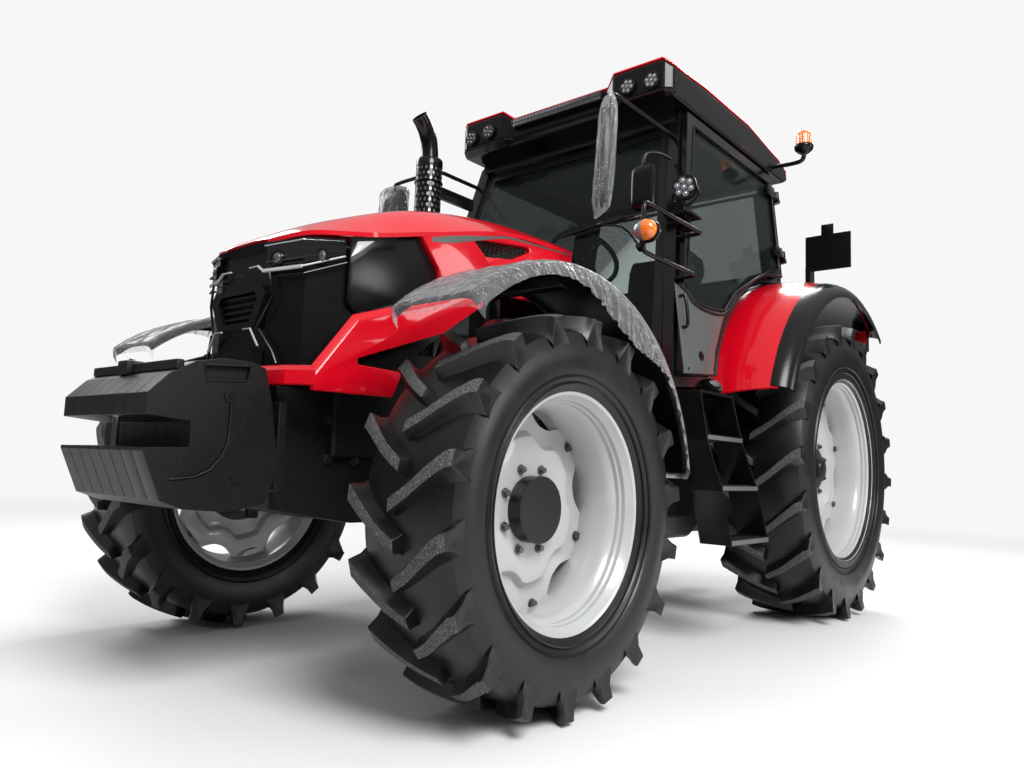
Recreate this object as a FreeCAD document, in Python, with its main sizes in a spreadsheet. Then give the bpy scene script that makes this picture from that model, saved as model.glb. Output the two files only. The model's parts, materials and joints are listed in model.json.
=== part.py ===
import FreeCAD, Part
import math
import os

import Sketcher
from FreeCAD import Placement, Rotation, Vector

doc = FreeCAD.newDocument("farm_tractor")
dims = doc.addObject("Spreadsheet::Sheet", "dims")

# Driving sizes in millimetres and degrees. X points to the tractor's left, -Y forward, Z up.
SIZES = {
    "wheelbase": 2550,
    "front_overhang": 1000,
    "rear_overhang": 950,
    "pin_clearance": 0.05,
    "moving_gap": 6,
    "seat_gap": 0.3,
    # front wheels
    "front_track": 1800,
    "front_tyre_radius": 625,
    "front_tyre_width": 380,
    "front_tread_width": 356,
    "front_lug_count": 18,
    "front_shoulder_radius": 545,
    "front_sidewall_radius": 470,
    "front_seat_radius": 356,
    "front_flange_radius": 381,
    "front_rim_width": 300,
    "front_disc_inset": 50,
    # rear wheels
    "rear_track": 1770,
    "rear_tyre_radius": 815,
    "rear_tyre_width": 480,
    "rear_tread_width": 452,
    "rear_lug_count": 20,
    "rear_shoulder_radius": 722,
    "rear_sidewall_radius": 635,
    "rear_seat_radius": 483,
    "rear_flange_radius": 515,
    "rear_rim_width": 430,
    "rear_disc_inset": -15,
    # both kinds of wheel
    "rim_flange_height": 24,
    "rim_wall": 14,
    "rim_drop": 16,
    "disc_thickness": 14,
    "lug_height": 38,
    "scallop_radius": 200,
    "scallop_depth": 35,
    "front_scallop_count": 6,
    "rear_scallop_count": 8,
    "hub_radius": 108,
    "hub_cap_length": 75,
    "hub_flange_radius": 160,
    "hub_flange_thickness": 16,
    "spindle_radius": 40,
    "rear_shaft_radius": 55,
    # front axle and steering
    "axle_height": 610,
    "axle_pin_radius": 40,
    "axle_boss_radius": 85,
    "axle_boss_length": 170,
    "beam_depth": 120,
    "beam_height": 120,
    "kingpin_offset": 740,
    "kingpin_radius": 28,
    "kingpin_height": 280,
    "knuckle_plate": 30,
    "knuckle_depth": 180,
    "knuckle_web": 24,
    # chassis
    "engine_length": 1180,
    "engine_width": 460,
    "engine_height": 520,
    "engine_floor": 670,
    "engine_front": -1560,
    "gearbox_width": 400,
    "gearbox_floor": 500,
    "gearbox_roof": 980,
    "trumpet_end": 630,
    "trumpet_inner_radius": 165,
    "trumpet_outer_radius": 120,
    "drive_shaft_radius": 30,
    "bolster_width": 400,
    "weight_count": 8,
    "weight_thickness": 71,
    "weight_gap": 1,
    "weight_depth": 440,
    # cab
    "column_tilt": 35,
    "cab_lean": 7.3,
    "cab_side": 832,
    "sill_height": 1200,
    "cab_front": -242,
    "cab_back": 1250,
    "screen_foot": 1230,
    "screen_foot_y": -204,
    "header_height": 2515,
    "header_y": 138,
    "waist_height": 1893,
    "waist_rail": 47,
    "rear_wall": 25,
    "cowl_thickness": 28,
    "cowl_half_width": 360,
    "cowl_top": 1730,
    "pillar_depth": 55,
    "door_thickness": 30,
    "glass_thickness": 6,
    "arch_wall": 600,
    "arch_wall_thickness": 18,
    "floor_height": 1120,
    "floor_thickness": 50,
    "roof_half_width": 700,
    "roof_bottom": 2585,
    "roof_top": 2788,
    "roof_cap_thickness": 12,
    # fenders
    "rear_fender_inner_radius": 1060,
    "rear_fender_crown_radius": 1075,
    "rear_fender_edge_radius": 1030,
    "rear_fender_edge": 1080,
    "rear_fender_sweep": 108,
    "rear_fender_start": 17,
    "lip_width": 60,
    "lip_drop": 70,
    "fender_skin": 14,
    "front_fender_radius": 750,
    "front_fender_width": 320,
    "front_fender_sweep": 122,
    "front_fender_start": 9,
    "front_fender_shift": 40,
    "front_fender_lift": 20,
    # hood
    "hood_half_width": 385,
    "hood_skin": 14,
    "hood_side_skin": 24,
    "hood_hinge_y": -400,
    "hood_hinge_height": 1700,
    "hinge_pin_radius": 8,
    # rear linkage
    "link_pivot_height": 500,
    "link_pivot_y": 1330,
    "link_ball_x": 435,
    "link_ball_height": 520,
    "link_end_radius": 45,
    "link_bore_radius": 14.4,
    "link_bar_width": 24,
    "lift_rod_width": 26,
    "link_end_length": 45,
    "link_pin_radius": 14,
    "lift_shaft_y": 1420,
    "lift_shaft_height": 1140,
    "lift_shaft_radius": 35,
    "lift_arm_length": 300,
    "lift_arm_thickness": 25,
    "rod_pin_radius": 12,
    "pto_radius": 17.45,
    "pto_length": 85,
    "drawbar_pin_radius": 16.5,
    "drawbar_thickness": 32,
}

# Places and sizes worked out from the driving sizes.
DERIVED = {
    "overall_length": "=front_overhang + wheelbase + rear_overhang",
    "front_axle_y": "=front_overhang - overall_length / 2",
    "rear_axle_y": "=front_axle_y + wheelbase",
    "rear_end_y": "=overall_length / 2",
    "front_wheel_x": "=front_track / 2",
    "rear_wheel_x": "=rear_track / 2",
    "front_disc_x": "=front_wheel_x - front_disc_inset",
    "rear_disc_x": "=rear_wheel_x - rear_disc_inset",
    "link_ball_y": "=rear_end_y - link_end_radius",
    "knuckle_top": "=front_tyre_radius + beam_height / 2 + moving_gap",
    "knuckle_bottom": "=front_tyre_radius - beam_height / 2 - moving_gap",
    "door_inner": "=moving_gap",
    "lift_arm_end_y": "=lift_shaft_y + lift_arm_length",
    "lift_arm_x": "=gearbox_width / 2 + 40",
    "lift_rod_x": "=lift_arm_x + lift_arm_thickness + 2",
    "link_pivot_x": "=lift_rod_x - link_bar_width / 2 - 1",
    "floor_half_width": "=cab_side - pillar_depth - 2",
}

for row, (alias, value) in enumerate(list(SIZES.items()) + list(DERIVED.items()), start=1):
    dims.set(f"A{row}", alias)
    dims.set(f"B{row}", str(value))
    dims.setAlias(f"B{row}", alias)
doc.recompute()


def size(alias):
    """A sheet value as a plain number."""
    return float(dims.get(alias))


NODES = {}


def node(name, thing):
    """Make an object a sub-part: its label is the name of its file."""
    thing.Label = name
    NODES[name] = thing
    return thing


def put(thing, across, along, up):
    """Bind an object's place to the sheet."""
    for letter, value in zip("xyz", (across, along, up)):
        thing.setExpression(f"Placement.Base.{letter}", str(value))
    return thing


def block(name, low, high):
    """A box between two corners."""
    box = doc.addObject("Part::Box", name)
    for side, start, end in zip(("Length", "Width", "Height"), low, high):
        box.setExpression(side, f"({end}) - ({start})")
    return put(box, *low)


TURNS = {
    "X": Rotation(Vector(0, 1, 0), 90),
    "Y": Rotation(Vector(1, 0, 0), -90),
    "Z": Rotation(),
}


def bar(name, start, axis, length, radius):
    """A round bar from a point along one axis."""
    cylinder = doc.addObject("Part::Cylinder", name)
    cylinder.setExpression("Radius", str(radius))
    cylinder.setExpression("Height", str(length))
    cylinder.Placement = Placement(Vector(), TURNS[axis])
    return put(cylinder, *start)


def fuse(name, things):
    joined = doc.addObject("Part::MultiFuse", name)
    joined.Shapes = things
    return joined


def cut(name, base, tool):
    rest = doc.addObject("Part::Cut", name)
    rest.Base = base
    rest.Tool = tool
    return rest


def mirrored(name, thing):
    copy = doc.addObject("Part::Mirroring", name)
    copy.Source = thing
    copy.Normal = (1, 0, 0)
    return copy


def both_sides(name, thing):
    """Left and right pieces of one body, in one sub-part."""
    group = doc.addObject("Part::Compound", name)
    group.Links = [thing, mirrored(name + "_right_side", thing)]
    return group


def outline(body, name, plane, corners):
    """A closed sketch of straight lines, each corner bound to the sheet."""
    sketch = body.newObject("Sketcher::SketchObject", name)
    origin_plane = next(f for f in body.Origin.OriginFeatures if f.Role == plane)
    sketch.AttachmentSupport = [(origin_plane, "")]
    sketch.MapMode = "FlatFace"
    count = len(corners)
    ring = [Vector(math.cos(2 * math.pi * i / count), math.sin(2 * math.pi * i / count), 0) for i in range(count)]
    sketch.addGeometry([Part.LineSegment(ring[i], ring[(i + 1) % count]) for i in range(count)], False)
    sketch.addConstraint([Sketcher.Constraint("Coincident", i, 2, (i + 1) % count, 1) for i in range(count)])
    for i, corner in enumerate(corners):
        for direction, value in zip(("DistanceX", "DistanceY"), corner):
            index = sketch.addConstraint(Sketcher.Constraint(direction, -1, 1, i, 1, 1.0))
            sketch.setExpression(f"Constraints[{index}]", str(value))
    return sketch


def padded(name, plane, corners, length):
    """A body made by one pad of a straight-sided outline."""
    body = doc.addObject("PartDesign::Body", name)
    sketch = outline(body, name + "_outline", plane, corners)
    pad = body.newObject("PartDesign::Pad", name + "_pad")
    pad.Profile = sketch
    pad.setExpression("Length", str(length))
    return body


def turned(body, name, corners, angle="360"):
    """A section in X and radius turned about the X axis."""
    sketch = outline(body, name + "_section", "XY_Plane", corners)
    turn = body.newObject("PartDesign::Revolution", name)
    turn.Profile = sketch
    turn.ReferenceAxis = (sketch, ["H_Axis"])
    turn.setExpression("Angle", str(angle))
    return turn


def solid_node(name, shape, where=None):
    """A piece whose form is set in code from the sheet's values."""
    piece = doc.addObject("Part::Feature", name)
    piece.Shape = shape
    piece.Placement = where or Placement()
    return node(name, piece)


def prism(points, thickness):
    """A flat plate: its outline's points in space, and its thickness as a vector."""
    return Part.Face(Part.makePolygon(points + points[:1])).extrude(thickness)


def ruled(sections):
    """A solid through closed sections of straight lines."""
    return Part.makeLoft([Part.makePolygon(s + s[:1]) for s in sections], True, True)


def facets(*polygons):
    return [Part.Face(Part.makePolygon(list(p) + [p[0]])) for p in polygons]


def closed(faces):
    """A solid closed by flat faces."""
    shell = Part.makeShell(faces)
    shell.sewShape()
    body = Part.makeSolid(shell)
    if body.Volume < 0:
        body.reverse()
    return body


def plated(sections):
    """A solid of flat facets through closed sections that have the same count of corners."""
    faces = facets(sections[0], sections[-1])
    for near, far in zip(sections, sections[1:]):
        for k in range(len(near)):
            after = (k + 1) % len(near)
            faces += facets((near[k], near[after], far[after]), (near[k], far[after], far[k]))
    return closed(faces)


def loop(centre, across, upward, half_across, half_up, count):
    """Corners of an oval in the plane of two directions."""
    turns = [2 * math.pi * (k + 0.5) / count for k in range(count)]
    return [centre + across * (half_across * math.cos(t)) + upward * (half_up * math.sin(t)) for t in turns]


# Wheels: tyre, rim with its scalloped disc, and hub.

WHEELS = [
    # end, side, sign
    ("front", "left", 1),
    ("front", "right", -1),
    ("rear", "left", 1),
    ("rear", "right", -1),
]


LUG_STATIONS = [
    # share of the half tread, degrees behind the outer end, half width in degrees of foot and of top, drop of the top
    (0.0, 12.5, 2.6, 1.6, 0),
    (0.5, 6.5, 2.9, 1.8, 0),
    (1.0, 0.0, 3.9, 2.7, 8),
]
SHOULDER_NARROWING = 6


def tyre_shape(end):
    """A tyre as one shell of flat faces: two rows of lugs set half a pitch apart, sidewalls, beads and bore."""
    lugs = int(size(f"{end}_lug_count"))
    pitch = 2 * math.pi / lugs
    tip = size(f"{end}_tyre_radius")
    floor = tip - size("lug_height")
    half_tread = size(f"{end}_tread_width") / 2
    half_width = size(f"{end}_tyre_width") / 2
    bead = size(f"{end}_rim_width") / 2 - size("rim_flange_height")
    seat = (size(f"{end}_seat_radius") + size("seat_gap")) / math.cos(pitch / 4)
    rings = [
        (half_width - SHOULDER_NARROWING, size(f"{end}_shoulder_radius")),
        (half_width, size(f"{end}_sidewall_radius")),
        (bead, seat),
    ]
    lead, top_half = LUG_STATIONS[1][1], LUG_STATIONS[1][3]
    lowest = math.radians(lead - top_half - 90)

    def at(across, radius, angle):
        return Vector(across, -radius * math.cos(angle), radius * math.sin(angle))

    def lug(side, index):
        """Corners of a lug at each station: foot behind, top behind, top ahead, foot ahead."""
        outer_end = lowest + pitch * (index + (0.5 if side < 0 else 0))
        corners = []
        for share, behind, foot_half, top_half, drop in LUG_STATIONS:
            middle = outer_end - math.radians(behind)
            foot, top = math.radians(foot_half), math.radians(top_half)
            x = side * share * half_tread
            corners.append([at(x, floor, middle - foot), at(x, tip - drop, middle - top),
                            at(x, tip - drop, middle + top), at(x, floor, middle + foot)])
        return corners

    faces = []
    for side in (1, -1):
        for i in range(lugs):
            here, after = lug(side, i), lug(side, i + 1)
            across_middle = lug(-side, i if side > 0 else i + 1)[0]
            a0, b0, c0, d0 = here[0]
            a1, d1 = after[1][0], here[1][3]
            faces += facets((a0, b0, c0), (a0, c0, d0))
            faces += facets((d1, d0, across_middle[0]), (d1, across_middle[0], across_middle[3]),
                            (d1, across_middle[3], a1), (across_middle[3], after[0][0], a1))
            for near, far in zip(here, here[1:]):
                for k in range(3):
                    faces += facets((near[k], near[k + 1], far[k + 1]), (near[k], far[k + 1], far[k]))
            faces += facets((d1, a1, after[2][0]), (d1, after[2][0], here[2][3]))
            outer_end = lowest + pitch * (i + (0.5 if side < 0 else 0))
            spots = [outer_end - pitch / 4, outer_end + pitch / 4, outer_end + 3 * pitch / 4]
            ring = [[at(side * x, r, angle) for angle in spots] for x, r in rings]
            a2, b2, c2, d2 = here[2]
            behind, ahead, beyond = ring[0]
            faces += facets((b2, c2, ahead, behind), (a2, b2, behind), (c2, d2, ahead), (d2, after[2][0], beyond, ahead))
            for upper, lower in zip(ring, ring[1:]):
                for k in range(2):
                    faces += facets((upper[k], upper[k + 1], lower[k + 1], lower[k]))
    for m in range(2 * lugs):
        start = lowest - pitch / 4 + m * pitch / 2
        faces += facets([at(bead, seat, start), at(bead, seat, start + pitch / 2),
                         at(-bead, seat, start + pitch / 2), at(-bead, seat, start)])
    return closed(faces)


def rim_section(end):
    """Half of a barrel: drop centre, seat and flange, then its inner face back to the middle."""
    edge = f"dims.{end}_rim_width / 2"
    seat = f"dims.{end}_seat_radius"
    bead = f"{edge} - dims.rim_flange_height"
    outside = [(f"{bead} - 60", f"{seat} - dims.rim_drop"), (f"{bead} - 40", seat), (bead, seat),
               (edge, f"dims.{end}_flange_radius")]
    inside = [(bead, f"{seat} - dims.rim_wall"), (f"{bead} - 40", f"{seat} - dims.rim_wall"),
              (f"{bead} - 60", f"{seat} - dims.rim_wall - dims.rim_drop")]
    right = outside + inside
    return right + [(f"-({x})", r) for x, r in reversed(right)]


def disc_section(end):
    middle = f"dims.{end}_disc_x - dims.{end}_wheel_x"
    bore = "dims.spindle_radius + dims.pin_clearance" if end == "front" else "dims.rear_shaft_radius + dims.pin_clearance"
    rim = f"dims.{end}_seat_radius - dims.rim_drop - dims.rim_wall / 2"
    return [
        (f"{middle} - dims.disc_thickness", bore),
        (middle, bore),
        (middle, rim),
        (f"{middle} - dims.disc_thickness", rim),
    ]


def hub_section(end):
    middle = f"dims.{end}_disc_x - dims.{end}_wheel_x"
    if end == "front":
        bore = "dims.spindle_radius + dims.pin_clearance"
    else:
        bore = "dims.rear_shaft_radius + dims.pin_clearance"
    return [
        (f"{middle}", bore),
        (f"{middle} + dims.hub_cap_length - 20", bore),
        (f"{middle} + dims.hub_cap_length - 20", "0"),
        (f"{middle} + dims.hub_cap_length", "0"),
        (f"{middle} + dims.hub_cap_length", "dims.hub_radius"),
        (f"{middle} + dims.hub_flange_thickness", "dims.hub_radius"),
        (f"{middle} + dims.hub_flange_thickness", "dims.hub_flange_radius"),
        (f"{middle}", "dims.hub_flange_radius"),
    ]


FIRST_LOBE = {"front": 138, "rear": 112}


def scallop(body, end):
    """Round bites out of the disc's edge that leave lobes between them, made before the barrel closes round it."""
    count = int(size(f"{end}_scallop_count"))
    sketch = body.newObject("Sketcher::SketchObject", f"{body.Name}_scallops")
    side_plane = next(f for f in body.Origin.OriginFeatures if f.Role == "YZ_Plane")
    sketch.AttachmentSupport = [(side_plane, "")]
    sketch.MapMode = "FlatFace"
    for k in range(count):
        turn = f"{FIRST_LOBE[end]} + {k + 0.5} * 360 / dims.{end}_scallop_count"
        disc_edge = f"dims.{end}_seat_radius - dims.rim_drop - dims.rim_wall / 2"
        reach = f"({disc_edge} - dims.scallop_depth + dims.scallop_radius)"
        sketch.addGeometry(Part.Circle(Vector(k + 1, 0, 0), Vector(0, 0, 1), 10 + k), False)
        for kind, value in (("DistanceX", f"{reach} * cos({turn})"), ("DistanceY", f"{reach} * sin({turn})")):
            index = sketch.addConstraint(Sketcher.Constraint(kind, -1, 1, k, 3, 1.0))
            sketch.setExpression(f"Constraints[{index}]", value)
        index = sketch.addConstraint(Sketcher.Constraint("Radius", k, 10.0))
        sketch.setExpression(f"Constraints[{index}]", "dims.scallop_radius")
    pocket = body.newObject("PartDesign::Pocket", f"{body.Name}_scalloped")
    pocket.Profile = sketch
    pocket.Type = 1
    pocket.Midplane = True


for end, side, sign in WHEELS:
    tyre = doc.addObject("Part::Feature", f"tyre_{end}_{side}")
    tyre.Shape = tyre_shape(end)
    put(tyre, f"{sign} * dims.{end}_wheel_x", f"dims.{end}_axle_y", f"dims.{end}_tyre_radius")
    node(tyre.Name, tyre)
    rim = doc.addObject("PartDesign::Body", f"rim_{end}_{side}")
    turned(rim, f"rim_{end}_{side}_disc", disc_section(end))
    scallop(rim, end)
    turned(rim, f"rim_{end}_{side}_barrel", rim_section(end))
    pieces = [rim]
    if end == "front":
        hub = doc.addObject("PartDesign::Body", f"hub_{end}_{side}")
        turned(hub, f"hub_{end}_{side}_cap", hub_section(end))
        pieces.append(hub)
    else:
        turned(rim, f"rim_{end}_{side}_hub", hub_section(end))
    for piece in pieces:
        if sign < 0:
            piece.Placement = Placement(Vector(), Rotation(Vector(0, 0, 1), 180))
        put(piece, f"{sign} * dims.{end}_wheel_x", f"dims.{end}_axle_y", f"dims.{end}_tyre_radius")
        node(piece.Name, piece)


# Front axle: an oscillating beam with kingpins at its ends.

ram_y = "dims.front_axle_y + 150"
ram_z = "dims.front_tyre_radius - 20"
steering_ram = fuse("steering_ram", [
    block("ram_bracket", ("dims.bolster_width / 2 + 30", "dims.front_axle_y", f"{ram_z} - 25"),
          ("dims.bolster_width / 2 + 130", f"{ram_y} + 25", f"{ram_z} + 25")),
    bar("ram_cylinder", ("dims.bolster_width / 2 + 20", ram_y, ram_z), "X", "210", "34"),
    bar("ram_rod", ("dims.bolster_width / 2 + 20", ram_y, ram_z), "X", "400", "14"),
])
BEAM_STATIONS = [
    # share of the way to the end, half depth, half height
    (0.0, 72, 84),
    (0.16, 72, 84),
    (0.30, 48, 56),
    (0.78, 42, 48),
    (0.90, 60, 60),
    (1.0, 60, 60),
]
# Corners of the beam's eight-sided section, as shares of its half depth and half height.
BEAM_CORNERS = [(-1, -0.6), (-0.6, -1), (0.6, -1), (1, -0.6), (1, 0.6), (0.6, 1), (-0.6, 1), (-1, 0.6)]
beam_end = size("kingpin_offset") + size("kingpin_radius")
beam_sections = []
for share, half_depth, half_height in [(-s, d, h) for s, d, h in BEAM_STATIONS[:0:-1]] + BEAM_STATIONS:
    middle = Vector(share * beam_end, size("front_axle_y"), size("front_tyre_radius"))
    beam_sections.append([middle + Vector(0, j * half_depth, k * half_height)
                          for j, k in BEAM_CORNERS])
beam = doc.addObject("Part::Feature", "beam")
beam.Shape = plated(beam_sections)
kingpin_foot = "dims.front_tyre_radius - dims.kingpin_height / 2"
axle_solid = fuse("axle_solid", [
    beam,
    bar("axle_boss", ("0", "dims.front_axle_y - dims.axle_boss_length / 2", "dims.axle_height"), "Y",
        "dims.axle_boss_length", "dims.axle_boss_radius"),
    bar("kingpin_left", ("dims.kingpin_offset", "dims.front_axle_y", kingpin_foot),
        "Z", "dims.kingpin_height", "dims.kingpin_radius"),
    bar("kingpin_right", ("-dims.kingpin_offset", "dims.front_axle_y", kingpin_foot),
        "Z", "dims.kingpin_height", "dims.kingpin_radius"),
    steering_ram,
    mirrored("steering_ram_right", steering_ram),
])
axle_bore = bar("axle_bore", ("0", "dims.front_axle_y - dims.axle_boss_length", "dims.axle_height"), "Y",
                "2 * dims.axle_boss_length", "dims.axle_pin_radius + dims.pin_clearance")
node("front_axle", cut("front_axle", axle_solid, axle_bore))


# Knuckles: a C of two eye plates and a web, with the wheel's spindle and the fender's post.

knuckle_inner = "dims.kingpin_offset - 55"
knuckle_web_in = "dims.kingpin_offset + dims.beam_depth / 2 + 2"
knuckle_web_out = f"{knuckle_web_in} + dims.knuckle_web"
knuckle_front = "dims.front_axle_y - dims.knuckle_depth / 2"
knuckle_back = "dims.front_axle_y + dims.knuckle_depth / 2"
fender_x = "dims.front_wheel_x - dims.front_tyre_width / 2"
post_top = "dims.front_tyre_radius + dims.front_fender_lift + dims.front_fender_radius"
knuckle_solid = fuse("knuckle_solid", [
    block("knuckle_top_plate", (knuckle_inner, knuckle_front, "dims.knuckle_top"),
          (knuckle_web_out, knuckle_back, "dims.knuckle_top + dims.knuckle_plate")),
    block("knuckle_bottom_plate", (knuckle_inner, knuckle_front, "dims.knuckle_bottom - dims.knuckle_plate"),
          (knuckle_web_out, knuckle_back, "dims.knuckle_bottom")),
    block("knuckle_web_plate", (knuckle_web_in, knuckle_front, "dims.knuckle_bottom - dims.knuckle_plate"),
          (knuckle_web_out, knuckle_back, "dims.knuckle_top + dims.knuckle_plate")),
    bar("spindle", (knuckle_web_in, "dims.front_axle_y", "dims.front_tyre_radius"), "X",
        f"dims.front_disc_x + dims.hub_cap_length - 25 - ({knuckle_web_in})", "dims.spindle_radius"),
    block("steering_arm", (knuckle_inner, "dims.front_axle_y + 60", "dims.knuckle_bottom - dims.knuckle_plate"),
          ("dims.kingpin_offset + 20", "dims.front_axle_y + 172", "dims.knuckle_bottom - 8")),
])
knuckle_pin_hole = bar("knuckle_pin_hole", ("dims.kingpin_offset", "dims.front_axle_y", "0"), "Z", "1000",
                       "dims.kingpin_radius + dims.pin_clearance")
knuckle_left = cut("knuckle_left", knuckle_solid, knuckle_pin_hole)
node("knuckle_left", knuckle_left)
node("knuckle_right", mirrored("knuckle_right", knuckle_left))

# Front fender: an arched plastic skin with turned-down edges, carried on a bent post.
front_fender = doc.addObject("PartDesign::Body", "front_fender_skin")
fender_outer = "dims.front_fender_radius"
fender_inner = "dims.front_fender_radius - dims.fender_skin / 2"
turned(front_fender, "front_fender_arch", [
    ("0", f"{fender_inner} - 26"),
    ("0", f"{fender_outer} - 12"),
    ("30", fender_outer),
    ("dims.front_fender_width - 30", fender_outer),
    ("dims.front_fender_width", f"{fender_outer} - 12"),
    ("dims.front_fender_width", f"{fender_inner} - 26"),
    ("dims.front_fender_width - 8", f"{fender_inner} - 26"),
    ("dims.front_fender_width - 32", fender_inner),
    ("32", fender_inner),
    ("8", f"{fender_inner} - 26"),
], "dims.front_fender_sweep")
front_fender.Placement = Placement(Vector(), Rotation(Vector(1, 0, 0), size("front_fender_start")))
put(front_fender, "dims.front_wheel_x - dims.front_fender_width / 2 + 20", "dims.front_axle_y - dims.front_fender_shift",
    "dims.front_tyre_radius + dims.front_fender_lift")
fender_post = fuse("fender_post", [
    block("post_upright", (f"{fender_x} - 55", "dims.front_axle_y - 30", "dims.knuckle_top + dims.knuckle_plate"),
          (f"{fender_x} - 20", "dims.front_axle_y + 30", f"{post_top} - 45")),
    block("post_head", (f"{fender_x} - 55", "dims.front_axle_y - 30", f"{post_top} - 45"),
          ("dims.front_wheel_x + 90", "dims.front_axle_y + 30", f"{post_top} - dims.fender_skin")),
])
fender_left = fuse("front_fender_left", [front_fender, fender_post])
node("front_fender_left", fender_left)
node("front_fender_right", mirrored("front_fender_right", fender_left))


# Engine, gearbox, rear axle, and the front support with its ballast weights.

node("engine_block", block(
    "engine_block",
    ("-dims.engine_width / 2", "dims.engine_front", "dims.engine_floor + 100"),
    ("dims.engine_width / 2", "dims.engine_front + dims.engine_length", "dims.engine_floor + dims.engine_height"),
))
gearbox_front = "dims.engine_front + dims.engine_length"
gearbox_back = "dims.rear_axle_y - 230"
gearbox = padded("gearbox", "YZ_Plane", [
    (gearbox_front, "dims.gearbox_floor + 40"),
    (gearbox_front, "dims.gearbox_roof + 60"),
    (f"{gearbox_front} + 250", "dims.gearbox_roof"),
    (gearbox_back, "dims.gearbox_roof"),
    (gearbox_back, "dims.gearbox_floor - 40"),
    (f"{gearbox_back} - 300", "dims.gearbox_floor"),
], "dims.gearbox_width")
put(gearbox, "-dims.gearbox_width / 2", "0", "0")
drive_shaft = bar("drive_shaft", ("0", "dims.front_axle_y + dims.axle_boss_length / 2 + 100", "dims.axle_height"), "Y",
                  f"({gearbox_front}) + 20 - (dims.front_axle_y + dims.axle_boss_length / 2 + 100)", "dims.drive_shaft_radius")
node("gearbox", fuse("gearbox_and_shaft", [gearbox, drive_shaft]))

rear_case = padded("rear_case", "YZ_Plane", [
    (gearbox_back, "dims.gearbox_floor - 60"),
    (gearbox_back, "dims.gearbox_roof + 60"),
    ("dims.lift_shaft_y - 150", "dims.gearbox_roof + 100"),
    ("dims.lift_shaft_y - 120", "dims.lift_shaft_height + 70"),
    ("dims.lift_shaft_y + 70", "dims.lift_shaft_height + 70"),
    ("dims.rear_axle_y + 320", "dims.gearbox_roof"),
    ("dims.rear_axle_y + 320", "dims.gearbox_floor"),
    ("dims.rear_axle_y + 200", "dims.gearbox_floor - 60"),
], "dims.gearbox_width")
put(rear_case, "-dims.gearbox_width / 2", "0", "0")
trumpet = doc.addObject("PartDesign::Body", "trumpet")
turned(trumpet, "trumpet_casting", [
    ("0", "0"),
    ("0", "dims.trumpet_inner_radius"),
    ("dims.gearbox_width / 2 + 60", "dims.trumpet_inner_radius"),
    ("dims.trumpet_end - 40", "dims.trumpet_outer_radius"),
    ("dims.trumpet_end - 30", "dims.trumpet_inner_radius - 10"),
    ("dims.trumpet_end", "dims.trumpet_inner_radius - 10"),
    ("dims.trumpet_end", "dims.rear_shaft_radius"),
    ("dims.rear_disc_x + dims.hub_cap_length - 25", "dims.rear_shaft_radius"),
    ("dims.rear_disc_x + dims.hub_cap_length - 25", "0"),
])
put(trumpet, "0", "dims.rear_axle_y", "dims.rear_tyre_radius")
pivot_lug_low = ("dims.link_pivot_x - 75", "dims.link_pivot_y - 45", "dims.link_pivot_height - 45")
pivot_lug_high = ("dims.link_pivot_x - 45", "dims.link_pivot_y + 45", "dims.link_pivot_height + 120")
link_side = fuse("link_side", [
    block("pivot_lug", pivot_lug_low, pivot_lug_high),
    block("pivot_lug_foot", ("0", "dims.link_pivot_y - 45", "dims.link_pivot_height"),
          ("dims.link_pivot_x - 45", "dims.link_pivot_y + 45", "dims.link_pivot_height + 120")),
    bar("link_pin", ("dims.link_pivot_x - 75", "dims.link_pivot_y", "dims.link_pivot_height"), "X", "90",
        "dims.link_pin_radius"),
])
pto_shaft = bar("pto_stub", ("0", "dims.rear_axle_y + 320", "dims.gearbox_floor + 150"), "Y", "dims.pto_length",
                "dims.pto_radius")
axle_case = fuse("axle_case", [
    rear_case, trumpet, mirrored("trumpet_right", trumpet), link_side, mirrored("link_side_right", link_side), pto_shaft,
])
lift_bore = bar("lift_bore", ("-dims.gearbox_width", "dims.lift_shaft_y", "dims.lift_shaft_height"), "X",
                "2 * dims.gearbox_width", "dims.lift_shaft_radius + dims.pin_clearance")
node("rear_axle", cut("rear_axle", axle_case, lift_bore))

bolster_half = "dims.bolster_width / 2"
bolster_front = "dims.front_axle_y - 530"
boss_half = "dims.axle_boss_length / 2"
bolster_frame = padded("bolster_frame", "YZ_Plane", [
    (bolster_front, "dims.axle_height - 20"),
    (bolster_front, "dims.engine_floor + 330"),
    ("dims.engine_front", "dims.engine_floor + 330"),
    ("dims.engine_front", "dims.engine_floor + 100"),
    ("dims.engine_front + dims.engine_length - 250", "dims.engine_floor + 100"),
    ("dims.engine_front + dims.engine_length - 300", "dims.engine_floor + 40"),
    (f"dims.front_axle_y + {boss_half} + 100", "dims.engine_floor + 40"),
    (f"dims.front_axle_y + {boss_half} + 100", "dims.axle_height - 75"),
    (f"dims.front_axle_y + {boss_half} + dims.moving_gap", "dims.axle_height - 75"),
    (f"dims.front_axle_y + {boss_half} + dims.moving_gap", "dims.engine_floor + 90"),
    (f"dims.front_axle_y - {boss_half} - dims.moving_gap", "dims.engine_floor + 90"),
    (f"dims.front_axle_y - {boss_half} - dims.moving_gap", "dims.axle_height - 75"),
    (f"dims.front_axle_y - {boss_half} - 100", "dims.axle_height - 75"),
], "dims.bolster_width")
put(bolster_frame, f"-({bolster_half})", "0", "0")
bolster = fuse("front_bolster", [
    bolster_frame,
    block("weight_carrier", ("-270", f"dims.front_axle_y - dims.front_overhang + dims.weight_depth + dims.seat_gap", "650"),
          ("270", bolster_front, "940")),
    bar("axle_pivot_pin", ("0", f"dims.front_axle_y - {boss_half} - 90", "dims.axle_height"), "Y",
        "dims.axle_boss_length + 180", "dims.axle_pin_radius"),
])
node("front_bolster", bolster)

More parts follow.
